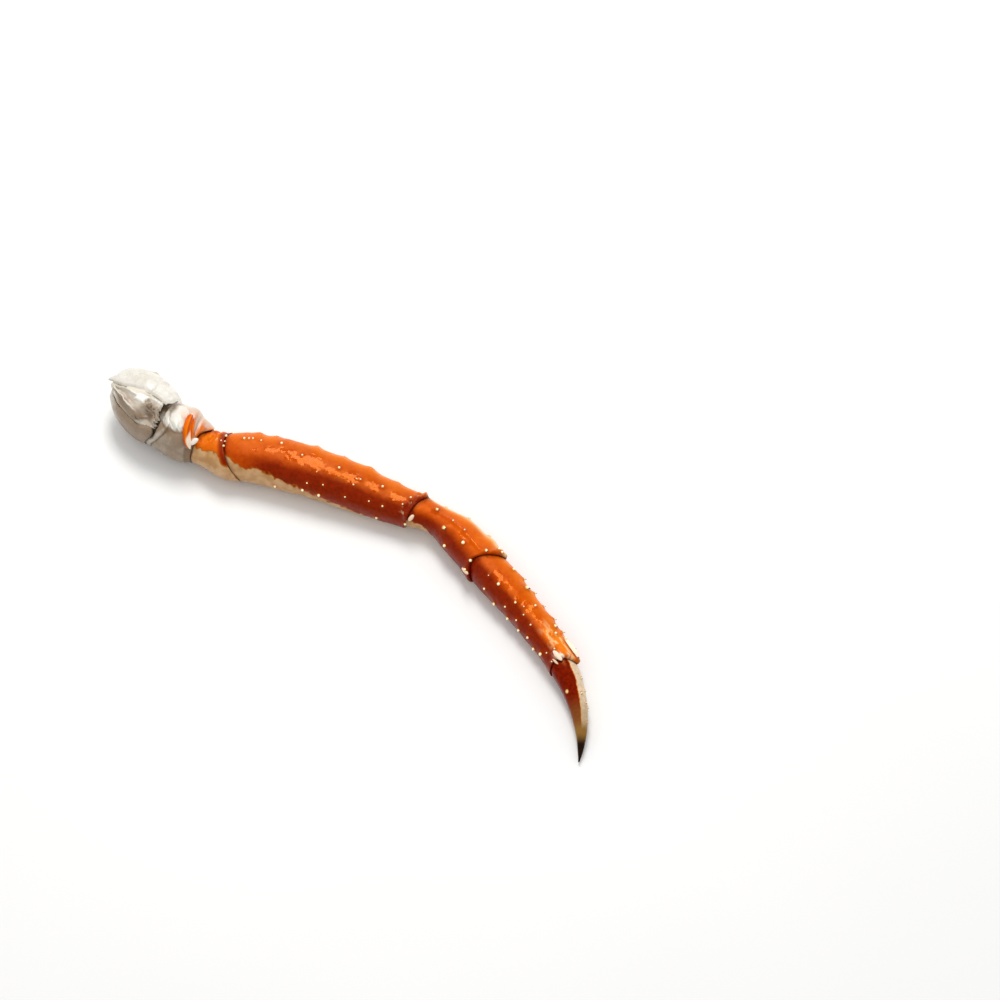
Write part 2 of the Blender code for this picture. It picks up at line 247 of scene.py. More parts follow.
# --- meshes ------------------------------------------------------------------------------
def make_object(name, verts, faces, material, fields):
    """A smooth-shaded mesh object; fields are named values on its vertices."""
    sizes = [f.shape[1] for f in faces for _ in range(len(f))]
    loops = np.concatenate([f.ravel() for f in faces])
    mesh = bpy.data.meshes.new(name)
    mesh.vertices.add(len(verts))
    mesh.vertices.foreach_set("co", verts.ravel())
    mesh.loops.add(len(loops))
    mesh.loops.foreach_set("vertex_index", loops.astype(np.int32))
    mesh.polygons.add(len(sizes))
    starts = np.concatenate(((0,), np.cumsum(sizes)[:-1]))
    mesh.polygons.foreach_set("loop_start", starts.astype(np.int32))
    mesh.polygons.foreach_set("loop_total", np.array(sizes, np.int32))
    mesh.polygons.foreach_set("use_smooth", np.ones(len(sizes), bool))
    for key, values in fields.items():
        layer = mesh.attributes.new(key, "FLOAT", "POINT")
        layer.data.foreach_set("value", np.asarray(values, np.float32))
    mesh.materials.append(material)
    mesh.update(calc_edges=True)
    mesh.validate()
    item = bpy.data.objects.new(name, mesh)
    bpy.context.scene.collection.objects.link(item)
    return item


def wrap_quads(rows, columns, first=0):
    """Quads of a closed tube whose rings have the same number of vertices."""
    i, j = np.meshgrid(np.arange(rows - 1), np.arange(columns), indexing="ij")
    k = (j + 1) % columns
    a, b = first + i * columns + j, first + i * columns + k
    return np.stack((a, b, b + columns, a + columns), -1).reshape(-1, 4)


def end_fans(rows, columns):
    """Triangles that close both ends of a tube, on the two vertices after its rings."""
    j = np.arange(columns)
    k = (j + 1) % columns
    last = (rows - 1) * columns
    near = np.stack((k, j, np.full_like(j, last + columns)), -1)
    far = np.stack((last + j, last + k, np.full_like(j, last + columns + 1)), -1)
    return near, far


def sheet_quads(rows, columns, first=0):
    """Quads of an open grid."""
    i, j = np.meshgrid(np.arange(rows - 1), np.arange(columns - 1), indexing="ij")
    a = first + i * columns + j
    return np.stack((a, a + 1, a + columns + 1, a + columns), -1).reshape(-1, 4)


def grid_normals(grid):
    """Normals of a grid of points, its columns closed into rings."""
    da = np.roll(grid, -1, axis=1) - np.roll(grid, 1, axis=1)
    dt = np.gradient(grid, axis=0)
    return unit(np.cross(da, dt))


class Shell:
    """The fine outer surface of a segment, as a grid that relief and colour work on."""

    def __init__(self, segment, before=None, after=None):
        self.segment = segment
        self.after = after
        mean = float(np.mean(segment.widths))
        self.columns = int(round(2 * math.pi * mean / MESH_STEP / 2)) * 2
        knob = segment.knob / segment.length
        places = -knob * np.cos(np.pi / 2 * np.arange(1, CAP_RINGS) / CAP_RINGS)
        body = int(segment.length / MESH_STEP)
        places = np.concatenate((places, np.linspace(0, 1, body + 1)))
        if after is None:
            places = places[:-1]
        self.angles = 360.0 * np.arange(self.columns) / self.columns
        t, a = np.meshgrid(places, self.angles, indexing="ij")
        t = t + np.clip((t - 0.6) / 0.4, 0.0, 1.0) ** 2 * segment.rim(a)
        self.t, self.a = t, a
        self.base = segment.point(t, a)
        self.out = grid_normals(self.base)
        self.lift = np.zeros_like(t)
        self.fields = {}
        self.mm = t * segment.length / MM
        self.to_rim = (1.0 + segment.rim(a) - t) * segment.length / MM
        self.past_joint = self.mm
        if before is not None:
            mouth = before.point(1.0 + before.rim(self.angles), self.angles)
            edge = (mouth[:, :2] - segment.start) @ segment.along(0.0) / MM
            self.past_joint = self.mm - edge[None, :]

    def distance(self, t, angle):
        """Distance of every vertex from a spot on the shell."""
        return np.linalg.norm(self.base - self.segment.point(t, angle), axis=-1)

    def add(self, key, values):
        """Adds to a named field."""
        self.fields[key] = self.fields.get(key, np.zeros_like(self.t)) + values

    def wet(self, patches, seed):
        """Glossy wet patches, (t, angle, mm along, mm round); the rest is a little duller."""
        ragged = fractal(self.base, 5 * MM, seed, 5)
        away = 1.0 - lobe(self.a, 95.0, 50.0)
        total = step(0.08, 0.2, fractal(self.base, 12 * MM, seed + 1, 5)) * step(0.3, 0.6, away)
        for t, angle, along, around in patches:
            u = 2.0 * (self.t - t) * self.segment.length / (along * MM)
            v = 2.0 * np.radians(turn(self.a, angle)) * catmull(self.segment.widths, t) / (around * MM)
            total = np.maximum(total, step(-0.2, 0.2, 0.95 - np.hypot(u, v) + 1.1 * ragged))
        self.add("wet", total)

    def socket(self, depth, gap):
        """A ring of the socket: depth is 1 at the rim and 0 at the bottom."""
        after = self.after
        low = -(after.knob + JOINT_GAP) / after.length
        edge = ((self.base[-1][:, :2] - after.start) @ after.along(0.0) - LIP_SET) / after.length
        return after.point(low + (edge - low) * depth, self.angles, gap)

    def raised(self):
        """The relief applied and the rim rolled in; nothing sinks below the table."""
        grid = self.base + self.out * self.lift[..., None]
        if self.after is not None:
            over = np.clip(1.0 - self.to_rim / ROLL, 0.0, 1.0)
            turn_in = 1.0 - np.sqrt(1.0 - over ** 2)
            inward = self.socket(1.0, ROLL_GAP) - self.base[-1]
            grid = grid + inward[None] * (0.82 * turn_in)[..., None]
            grid = grid - self.out * (self.lift * turn_in)[..., None]
        grid[..., 2] = np.maximum(grid[..., 2], TABLE)
        return grid

    def build(self, name, material):
        """The mesh object, closed at its knob and lined at its rim."""
        grid = self.raised()
        fields = {key: np.clip(values, 0.0, 1.0) for key, values in self.fields.items()}
        if self.after is not None:
            lining = [self.socket(part, JOINT_GAP) for part in np.linspace(0.98, 0.06, SOCKET_RINGS)]
            grid = np.concatenate((grid, np.array(lining)))
            for key in fields:
                # the socket lining is painted dark as shade
                fill = 1.0 if key == "deep" else 0.0
                tail = np.full((SOCKET_RINGS, self.columns), fill)
                fields[key] = np.concatenate((fields[key], tail))
            end = self.after.pole(JOINT_GAP)
        else:
            flat = self.segment.plan(1.0)
            end = np.array((flat[0], flat[1], self.segment.heights[-1]))
        verts = np.concatenate((grid.reshape(-1, 3), [self.segment.pole()], [end]))
        for key, values in fields.items():
            fields[key] = np.concatenate((values.ravel(), [values[0, 0]], [values[-1, 0]]))
        faces = [wrap_quads(len(grid), self.columns), *end_fans(len(grid), self.columns)]
        return make_object(name, verts, faces, material, fields)


def finish_piece(piece, slot, *nodes):
    """Every piece rides on the one body and hides the imported nodes it stands for; the slot is not used."""
    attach(piece, "root")
    if nodes:
        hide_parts(*nodes)


# --- spines --------------------------------------------------------------------------------
SPINE_SIDES = 14
SPINE_RINGS = 8
SPINE_SINK = 0.4 * MM         # how deep a spine's foot sits in the shell
MOUND = 0.42                  # height of the mound under a spine, as a part of its height


def cone(base, axis, height, radius, sharp):
    """A small rounded tubercle, or a cone as sharp nears 1: vertices, and how far up each is."""
    axis = unit(np.asarray(axis, float))
    side = unit(np.cross(axis, (0.13, 0.29, 0.95)))
    other = np.cross(axis, side)
    verts = []
    ups = []
    for k in range(SPINE_RINGS):
        u = k / (SPINE_RINGS - 1)
        dome = math.sqrt(max(1.0 - u ** 2.2, 0.0))
        r = radius * (dome + (0.95 * (1 - u) ** 0.85 - dome) * sharp)
        r = max(r, 0.12 * radius)
        for s in range(SPINE_SIDES):
            w = 2 * math.pi * s / SPINE_SIDES
            verts.append(base + axis * height * u + side * r * math.cos(w) + other * r * math.sin(w))
            ups.append(u)
    verts.append(base + axis * height * 1.03)
    ups.append(1.0)
    return verts, ups


def cone_faces(first):
    """Faces of one cone."""
    quads = wrap_quads(SPINE_RINGS, SPINE_SIDES, first)
    j = np.arange(SPINE_SIDES)
    k = (j + 1) % SPINE_SIDES
    last = first + (SPINE_RINGS - 1) * SPINE_SIDES
    tip = first + SPINE_RINGS * SPINE_SIDES
    caps = np.stack((last + j, last + k, np.full_like(j, tip)), -1)
    floor = np.stack((first + k, first + j, np.full_like(j, first)), -1)[1:-1]
    return quads, np.concatenate((caps, floor))


def grow_spines(name, shell, spines, material, slot):
    """Raises a mound in the shell under each spine, paints shade round it, and makes the spines as one piece.

    A spine is (t, angle, height mm, radius mm, dark tip 0..1).
    """
    verts, ups, darks, quads, tris, feet = [], [], [], [], [], []
    for t, angle, height, radius, _ in spines:
        d = shell.distance(t, angle)
        feet.append(np.unravel_index(d.argmin(), d.shape))
        reach = (1.5 * radius + 0.5) * MM
        shell.lift += MOUND * height * MM * np.exp(-(d / reach) ** 2)
        # painted shade: a darker ring round each mound
        shell.add("knob", np.exp(-(d / (1.3 * reach)) ** 2))
    for foot, (t, _, height, radius, dark) in zip(feet, spines):
        out = shell.out[foot]
        run = np.append(shell.segment.along(t), 0.0)
        base = shell.base[foot] + out * (shell.lift[foot] - SPINE_SINK)
        axis = out * (1.0 - 0.35 * dark) + run * (0.45 + 0.75 * dark)
        first = len(verts)
        more, up = cone(base, axis, height * (1.0 + 0.5 * dark) * MM, radius * MM, 0.35 + 0.65 * dark)
        verts += more
        ups += up
        darks += [dark] * len(up)
        q, c = cone_faces(first)
        quads.append(q)
        tris.append(c)
    fields = {"up": ups, "dark": darks}
    faces = [np.concatenate(quads), np.concatenate(tris)]
    verts = np.array(verts)
    verts[:, 2] = np.maximum(verts[:, 2], TABLE)
    finish_piece(make_object(name, verts, faces, material, fields), slot)


def spine_rows(rows, seed):
    """Spines from rows of (angle, places, height, radius, dark), a little uneven."""
    rng = np.random.default_rng(seed)
    spines = []
    for angle, places, height, radius, dark in rows:
        for t in places:
            wander = rng.uniform(-1.5, 1.5)
            size = rng.uniform(0.85, 1.25)
            spines.append((t, angle + wander, height * size, radius * size, dark))
    return spines


def dress(shell, node, rows, seed, paint, spines_paint, slot):
    """Grows a segment's spines and makes its shell, which stands for the segment's own node."""
    grow_spines(node + "_spines", shell, spine_rows(rows, seed), spines_paint, slot)
    finish_piece(shell.build(node + "_shell", paint), slot, node)


# --- materials --------------------------------------------------------------------------------
class Paint:
    """A material's node tree, built left to right."""

    def __init__(self, name, roughness=0.3, **shader_values):
        self.material = bpy.data.materials.new(name)
        self.material.use_nodes = True
        self.tree = self.material.node_tree
        self.shader = self.tree.nodes["Principled BSDF"]
        self.shader.inputs["Roughness"].default_value = roughness
        for key, value in shader_values.items():
            self.shader.inputs[key].default_value = value
        self.place = self.tree.nodes.new("ShaderNodeTexCoord").outputs["Object"]

    def field(self, name):
        """A named value of the mesh."""
        node = self.tree.nodes.new("ShaderNodeAttribute")
        node.attribute_name = name
        return node.outputs["Fac"]

    def noise(self, size, detail=4.0, rough=0.5):
        """Noise in 0..1 with blobs about size metres wide."""
        node = self.tree.nodes.new("ShaderNodeTexNoise")
        node.inputs["Scale"].default_value = 1.0 / size
        node.inputs["Detail"].default_value = detail
        node.inputs["Roughness"].default_value = rough
        self.tree.links.new(self.place, node.inputs["Vector"])
        return node.outputs["Fac"]

    def ramp(self, value, *stops):
        """Maps a value to a colour or grey through (position, colour) stops."""
        node = self.tree.nodes.new("ShaderNodeValToRGB")
        node.color_ramp.interpolation = "EASE"
        ramp = node.color_ramp.elements
        while len(ramp) < len(stops):
            ramp.new(0.5)
        for element, (position, colour) in zip(ramp, stops):
            element.position = position
            grey = isinstance(colour, (int, float))
            element.color = (colour, colour, colour, 1.0) if grey else (*colour, 1.0)
        self.tree.links.new(value, node.inputs["Fac"])
        return node.outputs["Color"]

    def mix(self, first, second, amount):
        """Mixes two colours by an amount that is a value or an output."""
        node = self.tree.nodes.new("ShaderNodeMix")
        node.data_type = "RGBA"
        for socket, value in ((node.inputs[6], first), (node.inputs[7], second), (node.inputs[0], amount)):
            if isinstance(value, bpy.types.NodeSocket):
                self.tree.links.new(value, socket)
            elif isinstance(value, tuple):
                socket.default_value = (*value, 1.0)
            else:
                socket.default_value = value
        return node.outputs[2]

    def times(self, first, second):
        """The product of two values or outputs."""
        node = self.tree.nodes.new("ShaderNodeMath")
        node.operation = "MULTIPLY"
        for socket, value in zip(node.inputs, (first, second)):
            if isinstance(value, bpy.types.NodeSocket):
                self.tree.links.new(value, socket)
            else:
                socket.default_value = value
        return node.outputs[0]

    def set(self, socket, output):
        """Links an output to the shader."""
        self.tree.links.new(output, self.shader.inputs[socket])

    def bump(self, *layers):
        """Adds (height output, depth in metres) layers of bump."""
        normal = None
        for height, depth in layers:
            node = self.tree.nodes.new("ShaderNodeBump")
            node.inputs["Strength"].default_value = 1.0
            node.inputs["Distance"].default_value = depth
            self.tree.links.new(height, node.inputs["Height"])
            if normal is not None:
                self.tree.links.new(normal, node.inputs["Normal"])
            normal = node.outputs["Normal"]
        self.set("Normal", normal)


GLOSS = {"Specular IOR Level": 0.48, "Specular Tint": (1.0, 0.36, 0.07, 1.0)}
CLAW_GLOSS = {**GLOSS, "Specular IOR Level": 0.22}
ORANGES = ((0.3, (0.46, 0.044, 0.0003)), (0.5, (0.57, 0.072, 0.0004)), (0.72, (0.68, 0.115, 0.0006)))
ORANGE_MOTTLE = ((0.35, (0.44, 0.038, 0.0006)), (0.65, (0.68, 0.110, 0.002)))
PAINTED_LIGHT_ORANGE = (0.84, 0.215, 0.003)
DEEP_REDS_AND_PAINTED_SHADE = ((0.3, (0.150, 0.0022, 0.0001)), (0.7, (0.225, 0.007, 0.0002)))
BELLY_TANS = ((0.3, (0.41, 0.225, 0.090)), (0.7, (0.56, 0.35, 0.18)))
BELLY_EDGE = (0.34, 0.088, 0.004)     # the brown line between the orange and the tan belly
CLAW_REDS = ((0.3, (0.120, 0.0020, 0.0002)), (0.7, (0.21, 0.007, 0.0004)))
CLAW_CREAMS = ((0.3, (0.60, 0.44, 0.28)), (0.7, (0.74, 0.60, 0.43)))
DOME_WHITES = ((0.58, 0.545, 0.47), (0.73, 0.70, 0.64))
MEAT_WHITES = ((0.56, 0.50, 0.40), (0.72, 0.67, 0.58))


def shell_paint():
    """Wet orange shell: mottled orange back with painted highlights, deep red flanks that are partly painted
    shade, tan-cream belly, painted shade round the spines and in the joints.
    """
    p = Paint("orange_shell_paint", 0.13, **GLOSS)
    broad = p.noise(20 * MM, 5.0, rough=0.55)
    fine = p.noise(2.4 * MM, 6.0, rough=0.6)
    orange = p.mix(p.ramp(broad, *ORANGES), p.ramp(fine, *ORANGE_MOTTLE), 0.22)
    # painted highlight: brighter orange on the lit ridge and streaks
    orange = p.mix(orange, PAINTED_LIGHT_ORANGE, p.times(p.field("lit"), 0.85))
    # deep red: the flank's own red, also used as painted shade on the lower flank and at the joints
    colour = p.mix(orange, p.ramp(fine, *DEEP_REDS_AND_PAINTED_SHADE), p.field("red"))
    tan = p.ramp(p.noise(6 * MM, 5.0), *BELLY_TANS)
    colour = p.mix(colour, BELLY_EDGE, p.ramp(p.field("pale"), (0.0, 0.0), (0.45, 1.0)))
    colour = p.mix(colour, tan, p.ramp(p.field("pale"), (0.35, 0.0), (0.85, 1.0)))
    # cream: cream tips and pads, and painted highlights on lit edges and wrinkle crests
    colour = p.mix(colour, (0.90, 0.72, 0.36), p.field("cream"))
    # painted shade: a darker ring round each spine's mound
    colour = p.mix(colour, (0.36, 0.035, 0.001), p.times(p.field("knob"), 0.42))
    colour = p.mix(colour, (0.95, 0.82, 0.66), p.field("white"))
    # painted shade: dark creases at the joints and inside the sockets
    colour = p.mix(colour, (0.085, 0.006, 0.0008), p.times(p.field("deep"), 0.95))
    p.set("Base Color", colour)
    p.set("Roughness", p.ramp(p.field("wet"), (0.0, 0.42), (1.0, 0.10)))
    p.bump((p.noise(1.0 * MM, 4.0), 0.018 * MM), (p.noise(3.0 * MM, 3.0), 0.12 * MM))
    return p.material


def claw_paint():
    """The claw: red and cream shell, horn-brown then black towards its tip."""
    p = Paint("claw_paint", 0.2, **CLAW_GLOSS)
    fine = p.noise(2.0 * MM, 6.0)
    cream = p.ramp(fine, *CLAW_CREAMS)
    red = p.ramp(fine, *CLAW_REDS)
    colour = p.mix(red, (0.62, 0.16, 0.01), p.ramp(p.field("pale"), (0.05, 0.0), (0.4, 1.0)))
    colour = p.mix(colour, cream, p.ramp(p.field("pale"), (0.45, 0.0), (0.75, 1.0)))
    colour = p.mix(colour, (0.88, 0.66, 0.25), p.field("cream"))
    colour = p.mix(colour, (0.24, 0.125, 0.030), p.field("horn"))
    colour = p.mix(colour, (0.004, 0.0035, 0.003), p.field("black"))
    # painted shade at the joint
    colour = p.mix(colour, (0.07, 0.006, 0.001), p.times(p.field("deep"), 0.9))
    p.set("Base Color", colour)
    streaks = p.noise(1.4 * MM, 4.0)
    p.set("Roughness", p.ramp(streaks, (0.3, 0.12), (0.7, 0.26)))
    p.bump((streaks, 0.02 * MM))
    return p.material


def spine_paint():
    """Cream spines, some with a black horny tip."""
    p = Paint("spine_paint", 0.22, **{"Specular IOR Level": 0.6})
    up = p.field("up")
    grain = p.noise(0.9 * MM, 3.0)
    root = p.mix((0.60, 0.15, 0.004), (0.98, 0.76, 0.26), p.ramp(up, (0.10, 0.0), (0.40, 1.0)))
    root = p.mix(root, (1.0, 0.95, 0.66), p.ramp(up, (0.35, 0.0), (0.70, 1.0)))
    root = p.mix(root, (0.90, 0.62, 0.22), p.ramp(grain, (0.55, 0.0), (0.8, 0.6)))
    tip = p.times(p.field("dark"), p.ramp(up, (0.62, 0.0), (0.74, 1.0)))
    p.set("Base Color", p.mix(root, (0.012, 0.006, 0.003), tip))
    p.bump((grain, 0.02 * MM))
    return p.material


def pale_paint(name, low, high, rough):
    """Smooth off-white shell or membrane with tan and brown, partly stains and partly painted shade, and dark
    painted shade.
    """
    p = Paint(name, rough)
    cloud = p.noise(12 * MM, 5.0, rough=0.6)
    fine = p.noise(1.3 * MM, 6.0)
    colour = p.ramp(cloud, (0.3, low), (0.68, high))
    colour = p.mix(colour, p.ramp(fine, (0.35, low), (0.65, high)), 0.12)
    colour = p.mix(colour, (0.66, 0.43, 0.32), p.times(p.field("blush"), 0.8))
    colour = p.mix(colour, (0.66, 0.15, 0.004), p.field("orange"))
    # tan: the shell's tan, also used as painted shade on the lower walls and in folds
    colour = p.mix(colour, (0.27, 0.19, 0.12), p.times(p.field("tan"), 0.95))
    # brown: stains, and painted shade in troughs, hollows and under edges
    colour = p.mix(colour, (0.17, 0.095, 0.040), p.times(p.field("stain_and_shade"), 0.9))
    colour = p.mix(colour, (0.93, 0.91, 0.85), p.field("white"))
    # painted shade: dark gaps, holes and sockets
    colour = p.mix(colour, (0.030, 0.014, 0.006), p.times(p.field("deep"), 0.95))
    p.set("Base Color", colour)
    p.set("Roughness", p.ramp(fine, (0.3, rough - 0.07), (0.7, rough + 0.1)))
    p.bump((fine, 0.012 * MM), (p.noise(4 * MM, 3.0), 0.08 * MM))
    return p.material


# --- the orange segments --------------------------------------------------------------------------
def skin_relief(shell, seed, amount=1.0):
    """Low dents and swellings of a real shell, which break its reflections up."""
    shell.lift += amount * 0.42 * MM * fractal(shell.base, 12 * MM, seed, 2)
    shell.lift += amount * 0.17 * MM * fractal(shell.base, 4.2 * MM, seed + 5, 3)


def red_shaded_flank_and_lit_ridge(shell, start, full, seed, fade=(0.0, 0.001)):
    """Deep red on the belly-side flank, partly the shell's own red and partly painted shade, fading up into
    orange; and a painted highlight along the back's ridge.
    """
    around = turn(shell.a, BELLY)
    spread = np.abs(around) + 8.0 * fractal(shell.base, 16 * MM, seed, 5)
    shell.add("red", (1.0 - step(full, start, spread)) * step(*fade, shell.t))
    # painted highlight along the back's ridge
    ridge = lobe(shell.a, 34.0, 30.0) * (0.75 + 0.5 * fractal(shell.base, 12 * MM, seed + 3, 3))
    shell.add("lit", ridge)


def pale_belly(shell, border, seed, last=282.0, ragged=9.0):
    """Tan-cream belly between a wandering border and the shell's underside."""
    edge = catmull(border, shell.t) + ragged * fractal(shell.base, 8 * MM, seed, 6)
    edge = edge + 0.7 * ragged * noise(shell.base, 2.2 * MM, seed + 2)
    under = last + ragged * fractal(shell.base, 9 * MM, seed + 1, 6)
    shell.add("pale", step(-8.0, 9.0, shell.a - edge) * step(-8.0, 9.0, under - shell.a))


def joint_shade(shell):
    """Painted shade: a dark crease where the segment leaves its socket and at its own rolled rim, with darker
    red beside each.
    """
    rough = 0.5 * fractal(shell.base, 3 * MM, 91, 3)
    shell.add("deep", 0.8 * (1.0 - step(-0.2, 0.7, shell.past_joint + rough)))
    shell.add("red", 0.55 * (1.0 - step(0.4, 4.5, shell.past_joint + 3 * rough)))
    if shell.after is not None:
        shell.add("deep", 0.35 * (1.0 - step(-0.2, 0.6, shell.to_rim + 0.5 * rough)))
        shell.add("red", 0.35 * (1.0 - step(0.5, 2.5, shell.to_rim + 2.0 * rough)))


def beads(shell, first, last, count, height, size, back=1.6):
    """Small lumps along the far rim, between two angles."""
    for k in range(count):
        angle = first + (last - first) * k / (count - 1)
        place = 1.0 + shell.segment.rim(angle) - (back + 0.7 * math.sin(5.0 * k)) * MM / shell.segment.length
        d = shell.distance(place, angle)
        shell.lift += height * MM * (1 + 0.3 * math.cos(2.2 * k)) * np.exp(-(d / (size * MM)) ** 2)


def build_merus(paint, spines_paint):
    """The long segment: orange back, red flank, tan belly patch near its base."""
    shell = Shell(MERUS, ISCHIUM, CARPUS)
    skin_relief(shell, 3)
    base = step(-0.2, 1.6, shell.past_joint) * (1.0 - step(5.0, 22.0, shell.past_joint))
    shell.lift += 1.5 * MM * base * lobe(shell.a, 45.0, 70.0)
    red_shaded_flank_and_lit_ridge(shell, 116.0, 74.0, 11, fade=(0.0, 0.30))
    # painted shade: more deep red along the lower side, more so further along
    shell.add("red", (0.22 + 0.22 * step(0.25, 0.8, shell.t)) * lobe(shell.a, 108.0, 42.0))
    pale_belly(shell, (104, 138, 140, 151, 161, 170, 181, 188, 196, 204, 208), 21)
    joint_shade(shell)
    shell.wet(((0.16, 92, 5, 3), (0.23, 86, 9, 5), (0.33, 82, 10, 5), (0.35, 95, 8, 4),
               (0.39, 93, 7, 4), (0.48, 87, 18, 15), (0.56, 94, 14, 6), (0.67, 89, 17, 10),
               (0.76, 80, 14, 9), (0.90, 88, 12, 8)), 101)
    beads(shell, 38.0, 140.0, 10, 1.5, 1.7)
    beads(shell, 50.0, 120.0, 5, 1.1, 1.9, back=5.5)
    to_knobs = shell.to_rim + 2.0 * fractal(shell.base, 4 * MM, 36, 3)
    knobby = (1.0 - step(3.0, 8.0, to_knobs)) * lobe(shell.a, 98.0, 48.0)
    specks = step(0.35, 0.6, fractal(shell.base * (1.0, 1.0, 2.0), 2.6 * MM, 37, 3))
    shell.add("red", 0.75 * knobby)
    shell.add("cream", 0.7 * specks * knobby)
    rows = (
        (67, (0.10, 0.12, 0.14, 0.18, 0.28), 1.3, 0.85, 0.0),
        (81, (0.40, 0.59, 0.82, 0.97), 1.3, 0.85, 0.0),
        (88, (0.69, 0.71), 1.0, 0.7, 0.0),
        (104, (0.50, 0.69, 0.95), 0.9, 0.6, 0.0),
        (130, (0.55, 0.79, 0.86), 1.1, 0.75, 0.0),
        (142, (0.47, 0.67), 1.0, 0.7, 0.0),
        (166, (0.45, 0.54, 0.99), 1.5, 1.05, 0.0),
        (178, (0.30, 0.84), 1.6, 1.1, 0.0),
        (22, (0.16, 0.24, 0.44, 0.58, 0.72, 0.87), 0.7, 1.0, 0.0),
        (340, (0.12, 0.24, 0.36, 0.50, 0.63, 0.75, 0.88), 1.5, 1.0, 0.4),
        (300, (0.18, 0.33, 0.48, 0.62, 0.80, 0.93), 1.2, 0.9, 0.0),
        (240, (0.35, 0.62, 0.86), 1.0, 0.8, 0.0),
    )
    dress(shell, "merus", rows, 5, paint, spines_paint, "orange_shell")


def build_carpus(paint, spines_paint):
    """The bent short segment with a knobby hood over the next one."""
    shell = Shell(CARPUS, MERUS, PROPODUS)
    skin_relief(shell, 31)
    red_shaded_flank_and_lit_ridge(shell, 112.0, 74.0, 12)
    pale_belly(shell, (154, 158, 168, 192, 212, 218, 220, 222, 222, 214), 22)
    # painted highlight: cream along the lit ridge
    shell.add("cream", 0.75 * lobe(shell.a, 29.0, 13.0) * step(0.02, 0.15, shell.t))
    crest = np.exp(-(turn(shell.a, 80.0 + 9.0 * shell.t) / 5.0) ** 2) * step(0.22, 0.3, shell.t)
    shell.lift += 0.75 * MM * crest * (1.0 - step(0.9, 0.97, shell.t))
    joint_shade(shell)
    shell.wet(((0.30, 88, 8, 4), (0.47, 90, 9, 5), (0.57, 92, 8, 4), (0.68, 90, 8, 5),
               (0.80, 89, 10, 5)), 102)
    beads(shell, 5.0, 62.0, 6, 1.3, 1.7, back=2.2)
    rows = (
        (79, (0.28, 0.94), 2.3, 1.35, 1.0),
        (113, (0.47,), 2.4, 1.5, 1.0),
        (83, (0.50, 0.65), 1.2, 0.75, 0.0),
        (108, (0.74,), 1.6, 1.2, 0.0),
        (126, (0.94,), 1.4, 0.95, 0.0),
        (159, (0.60, 0.95), 1.6, 1.1, 0.0),
        (44, (0.99, 1.03), 1.8, 1.2, 0.0),
        (22, (0.32, 0.55, 0.8, 0.97), 1.3, 0.9, 0.3),
        (345, (0.25, 0.42, 0.60, 0.78, 0.93), 1.5, 1.0, 0.6),
        (305, (0.3, 0.5, 0.72, 0.9), 1.6, 1.1, 0.0),
    )
    dress(shell, "carpus", rows, 6, paint, spines_paint, "orange_shell")


def build_propodus(paint, spines_paint):
    """The spiny segment before the claw."""
    shell = Shell(PROPODUS, CARPUS, DACTYL)
    skin_relief(shell, 41)
    red_shaded_flank_and_lit_ridge(shell, 118.0, 88.0, 13)
    pale_belly(shell, (212, 216, 220, 222, 224, 226, 226, 224, 220, 214), 23)
    lobes = step(0.90, 0.95, shell.t) * lobe(shell.a, 92.0, 18.0)
    streaks = fractal(np.stack((shell.mm * 0.25, shell.a * 0.16, 0 * shell.t), -1) * MM, 1.6 * MM, 29, 4)
    shell.add("white", 0.9 * lobes * step(-0.25, 0.25, streaks))
    # painted highlights: cream streaks and lighter orange towards the far end, over low streaky relief
    streaked_highlight_zone = step(0.62, 0.85, shell.t) * lobe(shell.a, 72.0, 26.0)
    shell.add("cream", 0.75 * streaked_highlight_zone * step(0.05, 0.35, streaks))
    shell.add("lit", 0.8 * streaked_highlight_zone)
    shell.lift += 0.8 * MM * lobes + 0.35 * MM * streaked_highlight_zone * streaks
    joint_shade(shell)
    shell.wet(((0.22, 100, 9, 8), (0.33, 90, 12, 10), (0.46, 91, 10, 9), (0.54, 84, 9, 8), (0.63, 84, 10, 8),
               (0.78, 86, 8, 5)), 103)
    beads(shell, 70.0, 130.0, 4, 0.9, 1.4)
    rows = (
        (49, (0.39, 0.74), 2.5, 1.45, 1.0),
        (44, (0.23, 0.86, 0.93), 1.7, 1.0, 0.0),
        (66, (0.55, 0.80), 1.5, 1.0, 0.0),
        (95, (0.51, 0.90), 0.9, 0.6, 0.0),
        (109, (0.27, 0.45), 1.5, 1.0, 0.0),
        (114, (0.17, 0.56, 0.65), 0.9, 0.6, 0.0),
        (130, (0.89, 0.97), 0.8, 0.6, 0.0),
        (146, (0.42, 0.55), 1.2, 0.85, 0.0),
        (157, (0.21, 0.70, 0.86), 1.7, 1.1, 0.0),
        (175, (0.33, 0.48, 0.60, 0.78), 1.6, 1.0, 0.0),
        (17, (0.31, 0.44, 0.56, 0.68, 0.79, 0.93), 1.7, 0.9, 0.6),
        (340, (0.18, 0.30, 0.44, 0.58, 0.72, 0.86), 1.7, 1.0, 0.6),
        (300, (0.25, 0.42, 0.60, 0.80), 1.5, 1.0, 0.0),
    )
    dress(shell, "propodus", rows, 7, paint, spines_paint, "orange_shell")


